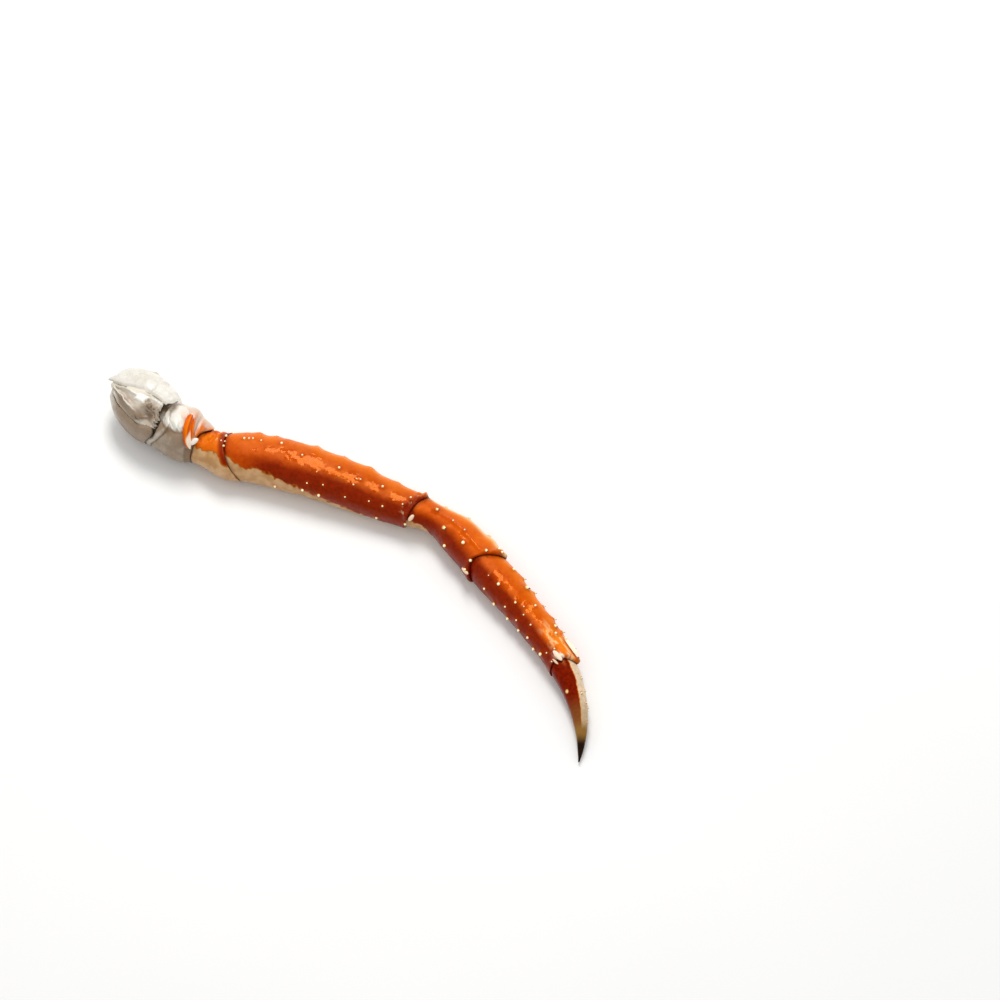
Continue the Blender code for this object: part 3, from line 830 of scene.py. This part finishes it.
def build_dactyl(paint, spines_paint):
    """The curved claw."""
    shell = Shell(DACTYL, PROPODUS)
    skin_relief(shell, 51, 0.35)
    ragged = fractal(shell.base, 5 * MM, 24, 5)
    reach = catmull((82, 80, 84, 88, 94, 100, 106, 112), shell.t) + 8.0 * ragged
    shell.add("pale", step(-6.0, 6.0, reach - np.abs(turn(shell.a, -10.0))))
    shell.add("horn", 0.45 * step(0.35, 0.6, shell.t) + 0.6 * step(0.60, 0.72, shell.t + 0.04 * ragged))
    shell.add("black", step(0.73, 0.84, shell.t + 0.012 * ragged))
    shell.lift -= 0.35 * MM * lobe(shell.a, 140.0, 12.0) * step(0.1, 0.3, shell.t) * (1 - shell.t)
    chip = np.exp(-(shell.distance(0.33, 134.0) / (1.3 * MM)) ** 2)
    shell.add("cream", step(0.3, 0.6, chip))
    joint_shade(shell)
    rows = (
        (40, (0.24, 0.46), 1.0, 0.75, 1.0),
        (64, (0.38,), 1.3, 1.15, 1.0),
        (24, (0.35, 0.50, 0.63), 1.1, 0.8, 1.0),
        (340, (0.25, 0.37, 0.5, 0.6), 0.9, 0.5, 1.0),
        (300, (0.3, 0.45), 0.8, 0.5, 1.0),
    )
    dress(shell, "dactyl", rows, 8, paint, spines_paint, "claw_shell")


def build_ischium(paint, spines_paint):
    """The short segment before the merus: orange on top, pale below."""
    shell = Shell(ISCHIUM, COXA, MERUS)
    skin_relief(shell, 61, 0.8)
    pale_belly(shell, (118, 120, 122, 121, 118, 116), 25, last=292.0)
    band = (1.0 - step(2.5, 6.0, shell.to_rim)) * (1.0 - step(138.0, 156.0, shell.a))
    shell.add("pale", -band)
    shell.add("red", 0.9 * band)
    shell.add("lit", 0.6 * lobe(shell.a, 70.0, 45.0) * (1.0 - band))
    wrinkle = np.sin(0.9 * shell.mm + 0.05 * shell.a + 2.5 * fractal(shell.base, 5 * MM, 26, 3))
    gather = lobe(shell.a, 58.0, 38.0) * (1.0 - step(17.0, 23.0, shell.mm))
    shell.lift += 0.9 * MM * wrinkle * gather
    specks = step(0.1, 0.4, fractal(shell.base, 4 * MM, 28, 3))
    # painted highlights: cream on the wrinkle crests
    shell.add("cream", 0.8 * gather * step(0.75, 0.95, wrinkle) * specks)
    shell.lift -= 2.0 * MM * (1.0 - step(0.0, 7.0, shell.to_rim)) * lobe(shell.a, 40.0, 75.0)
    joint_shade(shell)
    shell.wet(((0.50, 88, 6, 3), (0.72, 78, 5, 4)), 104)
    rows = ((93, (0.86,), 1.4, 0.95, 0.0), (62, (0.80,), 1.3, 0.9, 0.0), (80, (0.90, 0.74), 0.9, 0.6, 0.0),
            (25, (0.6, 0.85), 1.3, 0.9, 0.0), (330, (0.6, 0.85), 1.2, 0.9, 0.0))
    dress(shell, "ischium", rows, 9, paint, spines_paint, "orange_shell")


def coxa_fan(shell, ragged):
    """Blushing pleats that fan out from the point where the ischium leaves its socket."""
    side = np.radians(turn(shell.a, 120.0)) * 18.0
    ahead = (shell.t - 1.0) * COXA.length / MM
    reach = np.hypot(side, ahead)
    spin = np.arctan2(ahead, -side)
    fan = step(2.0, 6.0, reach) * (1.0 - step(22.0, 30.0, reach)) * step(-1.05, -0.75, spin)
    fan = fan * (1.0 - step(0.0, 10.0, turn(shell.a, 112.0)))
    pleat = np.sin(16.0 * spin + 1.0 * ragged)
    shell.lift += MM * fan * (0.55 * pleat + 0.2 * np.sin(37.0 * spin + 2.0 * ragged))
    shell.add("blush", 0.85 * fan)
    near_point = 1.0 - step(12.0, 24.0, reach + 4.0 * ragged)
    at_rim = 1.0 - step(1.5, 4.5, shell.to_rim + 1.5 * ragged)
    shell.add("orange", 0.9 * fan * step(-0.1, 0.5, pleat) * near_point)
    shell.add("orange", 0.95 * fan * at_rim * step(30.0, 60.0, shell.a))
    # painted shade: brown in the troughs of the pleats near their point
    shell.add("stain_and_shade", 0.5 * fan * step(0.5, 0.9, -pleat) * near_point)


def coxa_wall(shell, ragged):
    """The swollen back, bent in at its rim, and the belly-side wall painted tan and brown as shade."""
    shell.lift += 1.4 * MM * lobe(shell.a, 45.0, 30.0) * np.exp(-((shell.t - 0.84) / 0.15) ** 2)
    bend = np.clip(1.0 - shell.to_rim / 13.0, 0.0, 1.0)
    shell.lift -= 6.0 * MM * bend ** 1.6 * lobe(shell.a, 48.0, 52.0)
    wall = step(96.0, 120.0, shell.a) * (1.0 - step(282.0, 300.0, shell.a))
    shell.add("tan", wall * (0.95 + 0.35 * ragged))
    shell.add("stain_and_shade", wall * (0.12 + 0.4 * step(-0.2, 0.9, ragged)))


def coxa_tuft(shell):
    """The white tuft of torn meat that lies on the top, combed to its lower side."""
    u = (shell.t - 0.63 - 0.0012 * turn(shell.a, 90.0)) / 0.20
    v = turn(shell.a, 86.0) / 29.0
    edge = np.abs(u) ** 2.6 + np.abs(v) ** 2.6
    comb = np.sin(1.1 * (shell.mm - 0.28 * shell.a) + 2.2 * fractal(shell.base, 3 * MM, 34, 3))
    fringe = step(0.25, 0.8, v)
    torn = fringe * 0.35 * comb + 0.15 * fractal(shell.base, 2.5 * MM, 33, 3)
    tuft = 1.0 - step(0.75, 1.05, edge + torn)
    shell.lift += MM * tuft * (0.9 + 0.5 * comb * fringe + 0.35 * fractal(shell.base, 5 * MM, 35, 3))
    shell.add("white", tuft * (0.10 + 0.35 * step(-0.1, 0.5, -v)))
    shell.add("tan", -tuft)
    # painted shade: brown in the fringe's troughs, and a painted shadow along the tuft's lower edge
    shell.add("stain_and_shade", tuft * (0.6 * step(-0.4, 0.3, v) * step(0.35, 0.95, -comb) - 0.4))
    shell.add("stain_and_shade", 0.7 * np.exp(-((edge - 1.25) / 0.3) ** 2) * step(0.5, 0.9, v))


def coxa_root(shell, ragged):
    """The dark notch beside the dome, painted with stain and shade, the part that dips under the shoulder
    meat, and a dark patch below the tuft.
    """
    notch = (1.0 - step(0.50, 0.62, shell.t + 0.05 * ragged)) * lobe(shell.a, 72.0, 24.0)
    shell.add("stain_and_shade", 1.2 * notch)
    shell.add("deep", 0.6 * notch * step(-0.3, 0.3, ragged))
    shell.add("white", -notch)
    hidden = step(70.0, 85.0, shell.a) * (1.0 - step(150.0, 165.0, shell.a))
    shell.lift -= 3.5 * MM * hidden * (1.0 - step(0.36, 0.47, shell.t))
    dark_below_tuft = np.exp(-((shell.t - 0.61) / 0.06) ** 2) * lobe(shell.a, 119.0, 11.0)
    shell.add("stain_and_shade", 0.9 * dark_below_tuft * step(-0.5, 0.3, ragged))


def coxa_overlap(shell, ragged):
    """The edge of the plate that laps over the belly side, with a painted shadow under it, and the brown
    strip at the rim.
    """
    seam = catmull((0.60, 0.58, 0.50, 0.40, 0.36), (shell.a - 100.0) / 110.0) + 0.015 * ragged
    plate = step(98.0, 108.0, shell.a) * (1.0 - step(200.0, 214.0, shell.a))
    plate = plate * step(0.44, 0.50, shell.t + 0.004 * (shell.a - 140.0))
    raised = plate * (1.0 - step(-0.012, 0.012, shell.t - seam))
    shell.lift += 0.9 * MM * raised
    shell.add("tan", -0.35 * raised)
    # painted shadow just under the plate's raised edge
    shell.add("stain_and_shade", 0.8 * plate * np.exp(-((shell.t - seam - 0.012) / 0.014) ** 2))
    shell.add("deep", 0.6 * plate * np.exp(-((shell.t - seam - 0.010) / 0.006) ** 2))
    strip = step(140.0, 146.0, shell.a) * (1.0 - step(218.0, 232.0, shell.a))
    strip = strip * (1.0 - step(3.2, 4.4, shell.to_rim))
    shell.add("stain_and_shade", 0.95 * strip)
    shell.add("orange", 0.2 * strip)
    shell.lift -= 0.5 * MM * strip


def build_coxa(paint):
    """The smooth pale segment that joins the shoulder, with its tuft and its pleated fan."""
    shell = Shell(COXA, None, ISCHIUM)
    skin_relief(shell, 71, 1.0)
    ragged = fractal(shell.base, 5 * MM, 27, 4)
    coxa_fan(shell, ragged)
    coxa_wall(shell, ragged)
    coxa_tuft(shell)
    coxa_root(shell, ragged)
    coxa_overlap(shell, ragged)
    joint_shade(shell)
    finish_piece(shell.build("coxa_shell", paint), "pale_shell", "coxa")


# --- small torn pieces -------------------------------------------------------------------------------
RIBBON_THICK = 0.45 * MM


def ribbon(name, segment, path, widths, arch, material, fields, fold=0.45):
    """A curled orange leaf that follows (t, angle, height mm) places over a segment."""
    rows, columns = 60, 18
    s = np.linspace(0, 1, rows)
    places = np.array(path, float)
    t, a, h = [catmull(places[:, k], s) for k in range(3)]
    line = segment.point(t, a) + segment.normal(t, a) * (h * MM)[:, None]
    run = unit(np.gradient(line, axis=0))
    up = segment.normal(t, a)
    side = unit(np.cross(up, run))
    x = np.linspace(-1, 1, columns)
    half = catmull(widths, s) * MM
    rise = catmull(arch, s) * MM
    top = line[:, None] + side[:, None] * (half[:, None] * x)[..., None]
    top = top + up[:, None] * (rise[:, None] * (1 - x ** 2))[..., None]
    crumple = np.sin(4.5 * x[None, :] + 2.0 * s[:, None]) * np.sin(math.pi * s)[:, None]
    top = top + up[:, None] * (fold * MM * crumple + 0.25 * MM * fractal(top, 2.5 * MM, 55, 3))[..., None]
    out = unit(np.cross(np.gradient(top, axis=1), np.gradient(top, axis=0)))
    out = out * np.sign(np.sum(out * up[:, None], -1, keepdims=True))
    under = top - out * RIBBON_THICK
    grid = np.concatenate((top, under[:, ::-1]), axis=1)
    grid[..., 2] = np.maximum(grid[..., 2], TABLE)
    verts = np.concatenate((grid.reshape(-1, 3), [grid[0].mean(0)], [grid[-1].mean(0)]))
    faces = [wrap_quads(rows, 2 * columns), *end_fans(rows, 2 * columns)]
    along = np.repeat(s, 2 * columns)
    across = np.tile(np.concatenate((x, x[::-1])), rows)
    values = {}
    for key, rule in fields.items():
        flat = np.clip(rule(along, across), 0, 1)
        values[key] = np.concatenate((flat, flat[:1], flat[-1:]))
    finish_piece(make_object(name, verts, faces, material, values), "orange_shell")


def pebble(name, segment, t, angle, height, sizes, twist, material, slot, fields):
    """A small rounded lump; its sizes run along the leg, round it and out of it, in mm."""
    rows, columns = 22, 32
    lat = np.pi * np.arange(1, rows) / rows
    lon = 2 * np.pi * np.arange(columns) / columns
    la, lo = np.meshgrid(lat, lon, indexing="ij")
    ball = np.stack((np.sin(la) * np.cos(lo), np.sin(la) * np.sin(lo), np.cos(la)), -1)
    ball = np.concatenate((ball.reshape(-1, 3), [(0, 0, 1)], [(0, 0, -1)]))
    out = segment.normal(t, angle)
    run = np.append(segment.along(t), 0.0)
    side = np.cross(out, run)
    c, s = math.cos(math.radians(twist)), math.sin(math.radians(twist))
    frame = np.array((run * c + side * s, side * c - run * s, out))
    verts = segment.point(t, angle) + out * height * MM + (ball * sizes * MM) @ frame
    verts = verts + unit(verts - verts.mean(0)) * (0.3 * MM * fractal(verts, 2.2 * MM, 57, 3))[:, None]
    verts[:, 2] = np.maximum(verts[:, 2], TABLE)
    faces = [wrap_quads(rows - 1, columns), *end_fans(rows - 1, columns)]
    values = {key: np.full(len(verts), value) for key, value in fields.items()}
    finish_piece(make_object(name, verts, faces, material, values), slot)


def flap_crease_shade(s, x):
    """Painted shade: darker red in the crease and at the edges of the coxa's flap, s along it and x across
    it.
    """
    return 0.5 * np.exp(-((x - 0.35 + 0.5 * s) / 0.16) ** 2) + step(0.75, 1.0, np.abs(x)) * 0.3


def flap_white(s, x):
    """The white root and the white torn end of the coxa's flap."""
    return 1.0 - step(0.05, 0.10, s) + 0.95 * step(0.58, 0.68, s + 0.14 * x) * step(-0.7, -0.2, x)


def build_torn_bits(pale, orange):
    """The curled flap, the white tooth, the fin and the joint pads."""
    ribbon("coxa_flap", COXA,
           ((0.82, 68, 1.2), (0.83, 84, 2.2), (0.86, 104, 2.7), (0.92, 126, 2.1), (0.98, 142, 0.8)),
           (0.5, 2.4, 2.9, 2.9, 2.3, 0.5), (0.5, 1.2, 1.5, 1.5, 0.9, 0.3), orange,
           {"lit": lambda s, x: 0.9 - 0.9 * np.abs(np.sin(3.0 * x + 1.5 * s)),
            "red": flap_crease_shade, "white": flap_white})
    ribbon("coxa_curl", COXA, ((0.88, 76, 1.6), (0.91, 94, 2.3), (0.945, 110, 2.0), (0.98, 122, 1.0)),
           (0.3, 1.3, 1.2, 0.4), (0.3, 1.0, 0.9, 0.3), orange,
           {"lit": lambda s, x: 0.8 * step(-0.3, 0.4, x),
            "cream": lambda s, x: 0.5 * step(0.75, 0.9, s)}, fold=0.2)
    pebble("coxa_tooth", COXA, 1.0, 122.0, 0.7, (4.2, 2.1, 1.3), 42.0, pale, "pale_shell",
           {"white": 0.5, "blush": 0.5})
    pads = (
        ("merus_condyle", MERUS, 1.012, 135.0, -0.6, (2.9, 1.5, 1.5), 66.0, {"cream": 0.5, "white": 0.6}),
        ("carpus_pad", CARPUS, 0.955, 164.0, 0.4, (3.4, 1.3, 1.2), 8.0, {"cream": 0.7, "white": 0.5}),
        ("propodus_pad", PROPODUS, 0.955, 101.0, 0.1, (4.6, 1.7, 1.4), 8.0, {"white": 0.9}),
        ("propodus_pad_low", PROPODUS, 0.985, 119.0, 0.0, (2.8, 0.8, 1.0), 14.0,
         {"cream": 0.6, "white": 0.4}),
    )
    for name, segment, t, angle, height, sizes, twist, fields in pads:
        pebble(name, segment, t, angle, height, sizes, twist, orange, "orange_shell", fields)
    ribbon("propodus_fin", PROPODUS, ((0.80, 40, 0.2), (0.90, 41, 1.2), (0.98, 42, 1.9), (1.04, 43, 1.5)),
           (0.4, 1.9, 2.3, 0.4), (0.2, 0.7, 0.7, 0.2), orange,
           {"white": lambda s, x: step(0.05, 0.3, s), "deep": lambda s, x: step(0.88, 0.96, s)})


# --- the shoulder -----------------------------------------------------------------------------------
PLATE_SPAN = (0.02, 1.0)      # where the plates start and end along the shoulder
PLATE_RADIUS = 21 * MM        # with a plate's width in degrees, sets its number of columns
THIN_STEPS = 5                # how many vertices in from its edge a plate starts to thin


def plate_piece(name, width, edges, reach, relief, colour, material, node, tuck):
    """A curved plate of even thickness: a fine outer grid, an inner grid and its edge.

    edges(t) gives its two sides in degrees, reach(a) how far its two ends stand out, and
    tuck how far its far end sinks, in mm.
    """
    rows = int(SHOULDER.length / MESH_STEP)
    columns = int(math.radians(width) * PLATE_RADIUS / MESH_STEP)
    t, u = np.meshgrid(np.linspace(*PLATE_SPAN, rows), np.linspace(0, 1, columns), indexing="ij")
    first, last = edges(t)
    a = first + (last - first) * u
    near, far = reach(a)
    corner = 0.10 * step(0.72, 1.0, u) ** 2 + 0.05 * (1.0 - step(0.0, 0.12, u)) ** 2
    place = t + near * (1 - t) ** 2 + (far - corner) * t ** 4
    outer = SHOULDER.point(place, a)
    out = unit(np.cross(np.gradient(outer, axis=1), np.gradient(outer, axis=0)))
    lift = relief(t, a, outer)
    inner = SHOULDER.point(place, a, -PLATE_WALL)
    to_end = np.minimum(t - PLATE_SPAN[0], PLATE_SPAN[1] - t) / (t[1, 0] - t[0, 0])
    thin = step(0, THIN_STEPS, np.minimum(np.minimum(u, 1 - u) * columns, to_end))
    sink = tuck * MM * step(0.82, 1.0, t)
    outer = outer + out * (lift - (1 - thin) * 0.6 * PLATE_WALL - sink)[..., None]
    outer[..., 2] = np.maximum(outer[..., 2], TABLE)
    inner = inner + out * (np.minimum(lift, 0.0) * 0.5 - sink)[..., None]
    inner[..., 2] = np.maximum(inner[..., 2], TABLE + 0.1 * MM)
    count = rows * columns
    verts = np.concatenate((outer.reshape(-1, 3), inner.reshape(-1, 3)))
    top = sheet_quads(rows, columns)
    under = sheet_quads(rows, columns, count)[:, ::-1]
    index = np.arange(count).reshape(rows, columns)
    ring = np.concatenate((index[0, :-1], index[:-1, -1], index[-1, :0:-1], index[:0:-1, 0]))
    after = np.roll(ring, -1)
    edge = np.stack((after, ring, ring + count, after + count), -1)
    fields = {key: np.tile(np.clip(v, 0, 1).ravel(), 2) for key, v in colour(t, a, outer).items()}
    finish_piece(make_object(name, verts, [top, under, edge], material, fields), "pale_shell", node)


def stand_out(a, amount, centre, spread):
    """How far a plate's end stands out in a lobe of so many mm, as a part of t."""
    return amount * MM * lobe(a, centre, spread) / SHOULDER.length


def dome_edge(t):
    """The dome's lower edge, in degrees."""
    return 88.0 + 45.0 * (1 - t) ** 2 - 12.0 * t ** 2


def cup_edge(t):
    """The cup's upper edge, in degrees."""
    return 153.0 - 5.0 * t - 22.0 * step(0.80, 1.0, t)


def build_dome(material):
    """The smooth plate over the back and the top, with a pointed lip at the broken end."""
    def reach(a):
        return stand_out(a, -4.0, 126.0, 30.0), stand_out(a, 6.0, 88.0, 34.0)

    def relief(t, a, p):
        rough = fractal(p, 9 * MM, 81, 4)
        facet = np.exp(-((t - 0.60 - 0.003 * (a - 40) + 0.05 * rough) / 0.035) ** 2) * step(-20, 10, a)
        folds = np.sin(0.22 * a + 11 * t + 2.0 * rough) * step(0.55, 0.75, t) * lobe(a, 45.0, 45.0)
        sag = np.exp(-((dome_edge(t) - a) / 9.0) ** 2) * step(0.25, 0.45, t) * (1 - step(0.6, 0.8, t))
        knob = np.exp(-((t - 0.41) / 0.05) ** 2 - ((a - 25.0) / 6.0) ** 2)
        swell = fractal(p, 13 * MM, 80, 4)
        return MM * (0.6 * folds - 0.8 * facet - 1.0 * sag + 1.2 * knob + 0.40 * swell - 0.5)

    def colour(t, a, p):
        ragged = fractal(p, 5 * MM, 82, 4)
        zero = np.zeros_like(t)
        knob = np.exp(-((t - 0.41) / 0.05) ** 2 - ((a - 25.0) / 7.0) ** 2)
        rim = np.exp(-((dome_edge(t) - a) / 5.0) ** 2)
        return {"blush": zero, "orange": zero, "stain_and_shade": zero,
                "white": 0.35 * step(0.0, 0.6, -ragged) * step(0.1, 0.4, t),
                "tan": 0.55 * knob + 0.25 * rim + 0.25 * step(0.2, 0.9, ragged),
                # painted shade: dark at the far end, in the gap before the coxa
                "deep": 0.7 * step(0.985, 1.0, t) * lobe(a, 75.0, 25.0)}

    plate_piece("shoulder_dome_shell", 140.0, lambda t: (-52.0, dome_edge(t)), reach, relief, colour,
                material, "shoulder_dome", tuck=0.5)


def build_cup(material):
    """The plate under the belly side, with a lighter panel towards the broken end."""
    def reach(a):
        return stand_out(a, 2.0, 160.0, 20.0), stand_out(a, 9.0, 142.0, 44.0)

    def panel(t, a, low, high):
        return step(160.0, 176.0, a) * (1.0 - step(low, high, t + 0.0025 * (a - 180.0)))

    def relief(t, a, p):
        crease = np.exp(-((a - 178.0 - 40.0 * (t - 0.5)) / 3.0) ** 2) * step(0.4, 0.6, t)
        return MM * (0.5 * panel(t, a, 0.40, 0.58) - 0.6 * crease + 0.4 * fractal(p, 10 * MM, 83, 4))

    def colour(t, a, p):
        ragged = fractal(p, 6 * MM, 84, 4)
        zero = np.zeros_like(t)
        light = 0.7 * panel(t, a, 0.36, 0.62)
        return {"blush": zero, "orange": zero, "white": zero,
                # painted shade: tan and brown over the plate, less on the raised panel, and dark at the far
                # end
                "tan": step(0.05, 0.45, t + 0.2 * ragged) * (1.0 - 0.75 * light),
                "stain_and_shade": step(0.3, 0.6, t) * (0.30 + 0.4 * step(-0.2, 0.9, ragged)) * (1.0 - light),
                "deep": 0.8 * step(0.985, 1.0, t)}

    plate_piece("shoulder_cup_shell", 138.0, lambda t: (cup_edge(t), 296.0), reach, relief, colour,
                material, "shoulder_cup", tuck=0.9)


MEAT_STEPS = 150
MEAT_COLUMNS = 400
MEAT_LINING = 14              # rings of the lining inside the meat's socket
MEAT_FLOOR = 0.2 * MM         # the plates keep the meat off the table
MEAT_CREST = 41.2 * MM        # above this height the torn meat is pressed down


def meat_looks(u, t, a, base):
    """Height over the base and colours of the meat: skins, flakes and the hollow, with painted shade in the
    hollow, folds and lower side.
    """
    top = turn(a, dome_edge(t))
    low = turn(cup_edge(t), a)
    shown = step(0.0, 9.0, top) * step(0.0, 9.0, low)
    rough = fractal(base, 5 * MM, 85, 4)

    # creases that fan out from the pointed lip
    ahead = (t - 0.10) * SHOULDER.length / MM
    spin = np.arctan2(np.radians(turn(a, 126.0)) * 20.0, ahead + 0.5)
    fold = np.abs(np.sin(9.0 * spin + 1.1 * fractal(base, 9 * MM, 86, 3)))
    skin = shown * step(0.09, 0.20, t) * np.maximum(step(8.0, 20.0, low), step(0.3, 0.5, t))
    skin = skin * (1.0 - step(0.55, 0.85, t + 0.003 * (120 - a)))

    # the little white plate, the flakes, the rolled ridge, the hollow and its brim
    square = np.maximum(np.abs(t - 0.70) / 0.10, np.abs(turn(a, 101.0 - 40 * (t - 0.7))) / 10.0)
    patch = step(0.0, 0.6, 1.0 - square)
    flaky = shown * step(0.66, 0.80, t) * (1.0 - patch) * (1.0 - step(104.0, 118.0, a))
    flakes = np.abs(fractal(base * (1.0, 1.5, 1.5), 3.0 * MM, 87, 4))
    roll = np.exp(-((top - 7.0) / 5.0) ** 2) * step(0.72, 0.84, t)
    hollow = np.exp(-((t - 0.97) / 0.11) ** 2 - (turn(a, 115.0) / 13.0) ** 2)
    brim = np.exp(-((np.hypot((t - 0.97) / 0.17, turn(a, 115.0) / 19.0) - 1.0) / 0.25) ** 2)
    past = step(0.9, 1.0, t) * lobe(a, 120.0, 45.0)
    lift = shown * (1.5 + 0.5 * rough) + skin * (2.2 * (1.0 - fold) ** 2 - 0.7 * fold)
    lift += 1.3 * patch * shown + 2.2 * flaky * (0.35 - flakes) + 1.4 * roll * shown
    lift += 1.3 * brim * shown - 2.8 * hollow
    lift += past * (0.9 + 0.5 * rough) - 2.6 * past * step(0.975, 1.0, u)

    # painted shade: dusk darkens and blushes the lower side; tan and brown fill the folds, the flake gaps and
    # the hollow; the holes and the slit are dark
    holes = np.exp(-((t - 0.34) / 0.02) ** 2 - (turn(a, 106.0) / 4.0) ** 2)
    slit = np.exp(-((t - 0.85) / 0.05) ** 2 - (turn(a, 137.0 + 60 * (t - 0.85)) / 2.0) ** 2)
    dusk = shown * step(112.0, 130.0, a) * step(0.2, 0.5, t)
    white = 0.75 * skin * step(0.3, 0.0, fold) + 0.95 * patch + 0.6 * roll
    tan = 1.0 * dusk + 0.45 * flaky + 0.4 * skin * step(0.72, 1.0, fold) + 0.3 * brim
    stain_and_shade = hollow ** 0.6 + 0.45 * dusk * step(0.0, 0.7, rough) + 0.7 * flaky * step(0.22, 0.4, flakes)
    deep = 0.9 * holes + 0.95 * slit + 0.35 * hollow ** 2
    return lift * MM, {"white": white, "tan": tan, "stain_and_shade": stain_and_shade, "deep": deep,
                       "blush": 0.35 * dusk, "orange": np.zeros_like(t)}


def build_meat(material):
    """The flaky meat and torn membranes in the slot between the plates."""
    angles = 360.0 * np.arange(MEAT_COLUMNS) / MEAT_COLUMNS
    u, a = np.meshgrid(np.linspace(0, 1, MEAT_STEPS), angles, indexing="ij")
    torn = 1.0 + 0.10 * np.sin(0.31 * a) + 0.07 * np.sin(0.83 * a + 1.0)
    t = 0.03 + 0.9 * u + 0.23 * u ** 3 * lobe(a, 120.0, 33.0) * torn
    base = SHOULDER.point(t, a, -(PLATE_WALL + PLATE_GAP))
    lift, looks = meat_looks(u, t, a, base)
    grid = base + grid_normals(base) * lift[..., None]
    grid[..., 2] = np.maximum(grid[..., 2], MEAT_FLOOR)
    grid[..., 2] -= 0.35 * np.maximum(grid[..., 2] - MEAT_CREST, 0.0)

    # a lining round the coxa's knob, painted dark as shade
    edge = ((base[-1][:, :2] - COXA.start) @ COXA.along(0.0)) / COXA.length
    bottom = -(COXA.knob + JOINT_GAP) / COXA.length
    parts = np.linspace(0.97, 0.06, MEAT_LINING)
    lining = np.array([COXA.point(bottom + (edge - bottom) * part, angles, JOINT_GAP) for part in parts])
    centre = SHOULDER.plan(-0.02)
    verts = np.concatenate((grid.reshape(-1, 3), lining.reshape(-1, 3),
                            [(centre[0], centre[1], SHOULDER.heights[0])], [COXA.pole(JOINT_GAP)]))
    fields = {}
    for key, values in looks.items():
        inside = {"stain_and_shade": 1.0, "deep": 0.8}.get(key, 0.0)
        tail = np.full(MEAT_LINING * MEAT_COLUMNS, inside)
        fields[key] = np.concatenate((np.clip(values, 0, 1).ravel(), tail, (0.0, inside)))
    rings = MEAT_STEPS + MEAT_LINING
    faces = [wrap_quads(rings, MEAT_COLUMNS), *end_fans(rings, MEAT_COLUMNS)]
    finish_piece(make_object("shoulder_flesh", verts, faces, material, fields), "crab_meat", "shoulder_meat")


# --- camera, floor and light -----------------------------------------------------------------------------
VIEW_AZIMUTH = 40.74
VIEW_ELEVATION = 60.0
VIEW_DISTANCE = 1.9444
VIEW_LENS = 100.0             # in mm, on a sensor 36 mm wide
VIEW_AIM = (PLAN_SHIFT[0], PLAN_SHIFT[1], 0.0)   # the leg lies to the left of the frame's middle
KEY_PLACE = (-0.42, 0.50, 1.17)
KEY_AIM = (-0.02, 0.0, 0.0)
KEY_SIZE = (0.42, 0.70)
KEY_SPIN = 25.0               # degrees round its own axis
KEY_POWER = 10.6
KEY_COLOUR = (1.0, 0.985, 0.96)
SKY_STRENGTH = 0.78
FLOOR_SIZE = 40.0             # so wide that its far edge is out of sight in low views
FLOOR_GREYS = ((0.3, (0.86, 0.86, 0.855)), (0.7, (0.88, 0.88, 0.875)))


def add_camera():
    """A long lens looking down at the leg from its front right."""
    az, el = math.radians(VIEW_AZIMUTH), math.radians(VIEW_ELEVATION)
    back = Vector((math.sin(az) * math.cos(el), -math.cos(az) * math.cos(el), math.sin(el)))
    data = bpy.data.cameras.new("camera")
    data.lens = VIEW_LENS
    data.sensor_width = 36.0
    camera = bpy.data.objects.new("camera", data)
    camera.location = back * VIEW_DISTANCE + Vector(VIEW_AIM)
    camera.rotation_euler = back.to_track_quat("Z", "Y").to_euler()
    bpy.context.scene.collection.objects.link(camera)
    bpy.context.scene.camera = camera


def add_key():
    """A soft rectangular light, above and behind the leg."""
    data = bpy.data.lights.new("key", "AREA")
    data.shape = "RECTANGLE"
    data.size, data.size_y = KEY_SIZE
    data.energy = KEY_POWER
    data.color = KEY_COLOUR
    light = bpy.data.objects.new("key", data)
    light.location = KEY_PLACE
    aim = (Vector(KEY_PLACE) - Vector(KEY_AIM)).to_track_quat("Z", "Y")
    light.rotation_euler = (aim @ Quaternion((0, 0, 1), math.radians(KEY_SPIN))).to_euler()
    bpy.context.scene.collection.objects.link(light)


def add_stage():
    """A plain pale floor, the key light and a dim sky."""
    bpy.ops.mesh.primitive_plane_add(size=FLOOR_SIZE, location=(0, 0, 0))
    floor = bpy.context.object
    floor.name = "floor"
    p = Paint("floor_paint", 0.7)
    p.set("Base Color", p.ramp(p.noise(0.4, 2.0), *FLOOR_GREYS))
    floor.data.materials.append(p.material)
    add_key()
    world = bpy.data.worlds.new("sky")
    world.use_nodes = True
    world.node_tree.nodes["Background"].inputs["Color"].default_value = (1, 1, 1, 1)
    world.node_tree.nodes["Background"].inputs["Strength"].default_value = SKY_STRENGTH
    bpy.context.scene.world = world
    bpy.context.scene.view_settings.view_transform = "Standard"


def main():
    """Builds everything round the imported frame."""
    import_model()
    add_camera()
    shell = shell_paint()
    spines = spine_paint()
    build_merus(shell, spines)
    build_carpus(shell, spines)
    build_propodus(shell, spines)
    build_dactyl(claw_paint(), spines)
    build_ischium(shell, spines)
    pale = pale_paint("pale_shell_paint", *DOME_WHITES, 0.32)
    meat = pale_paint("crab_meat_paint", *MEAT_WHITES, 0.40)
    build_torn_bits(pale, shell)
    build_coxa(pale)
    build_dome(pale)
    build_cup(pale)
    build_meat(meat)
    add_stage()
    bpy.context.view_layer.update()


main()
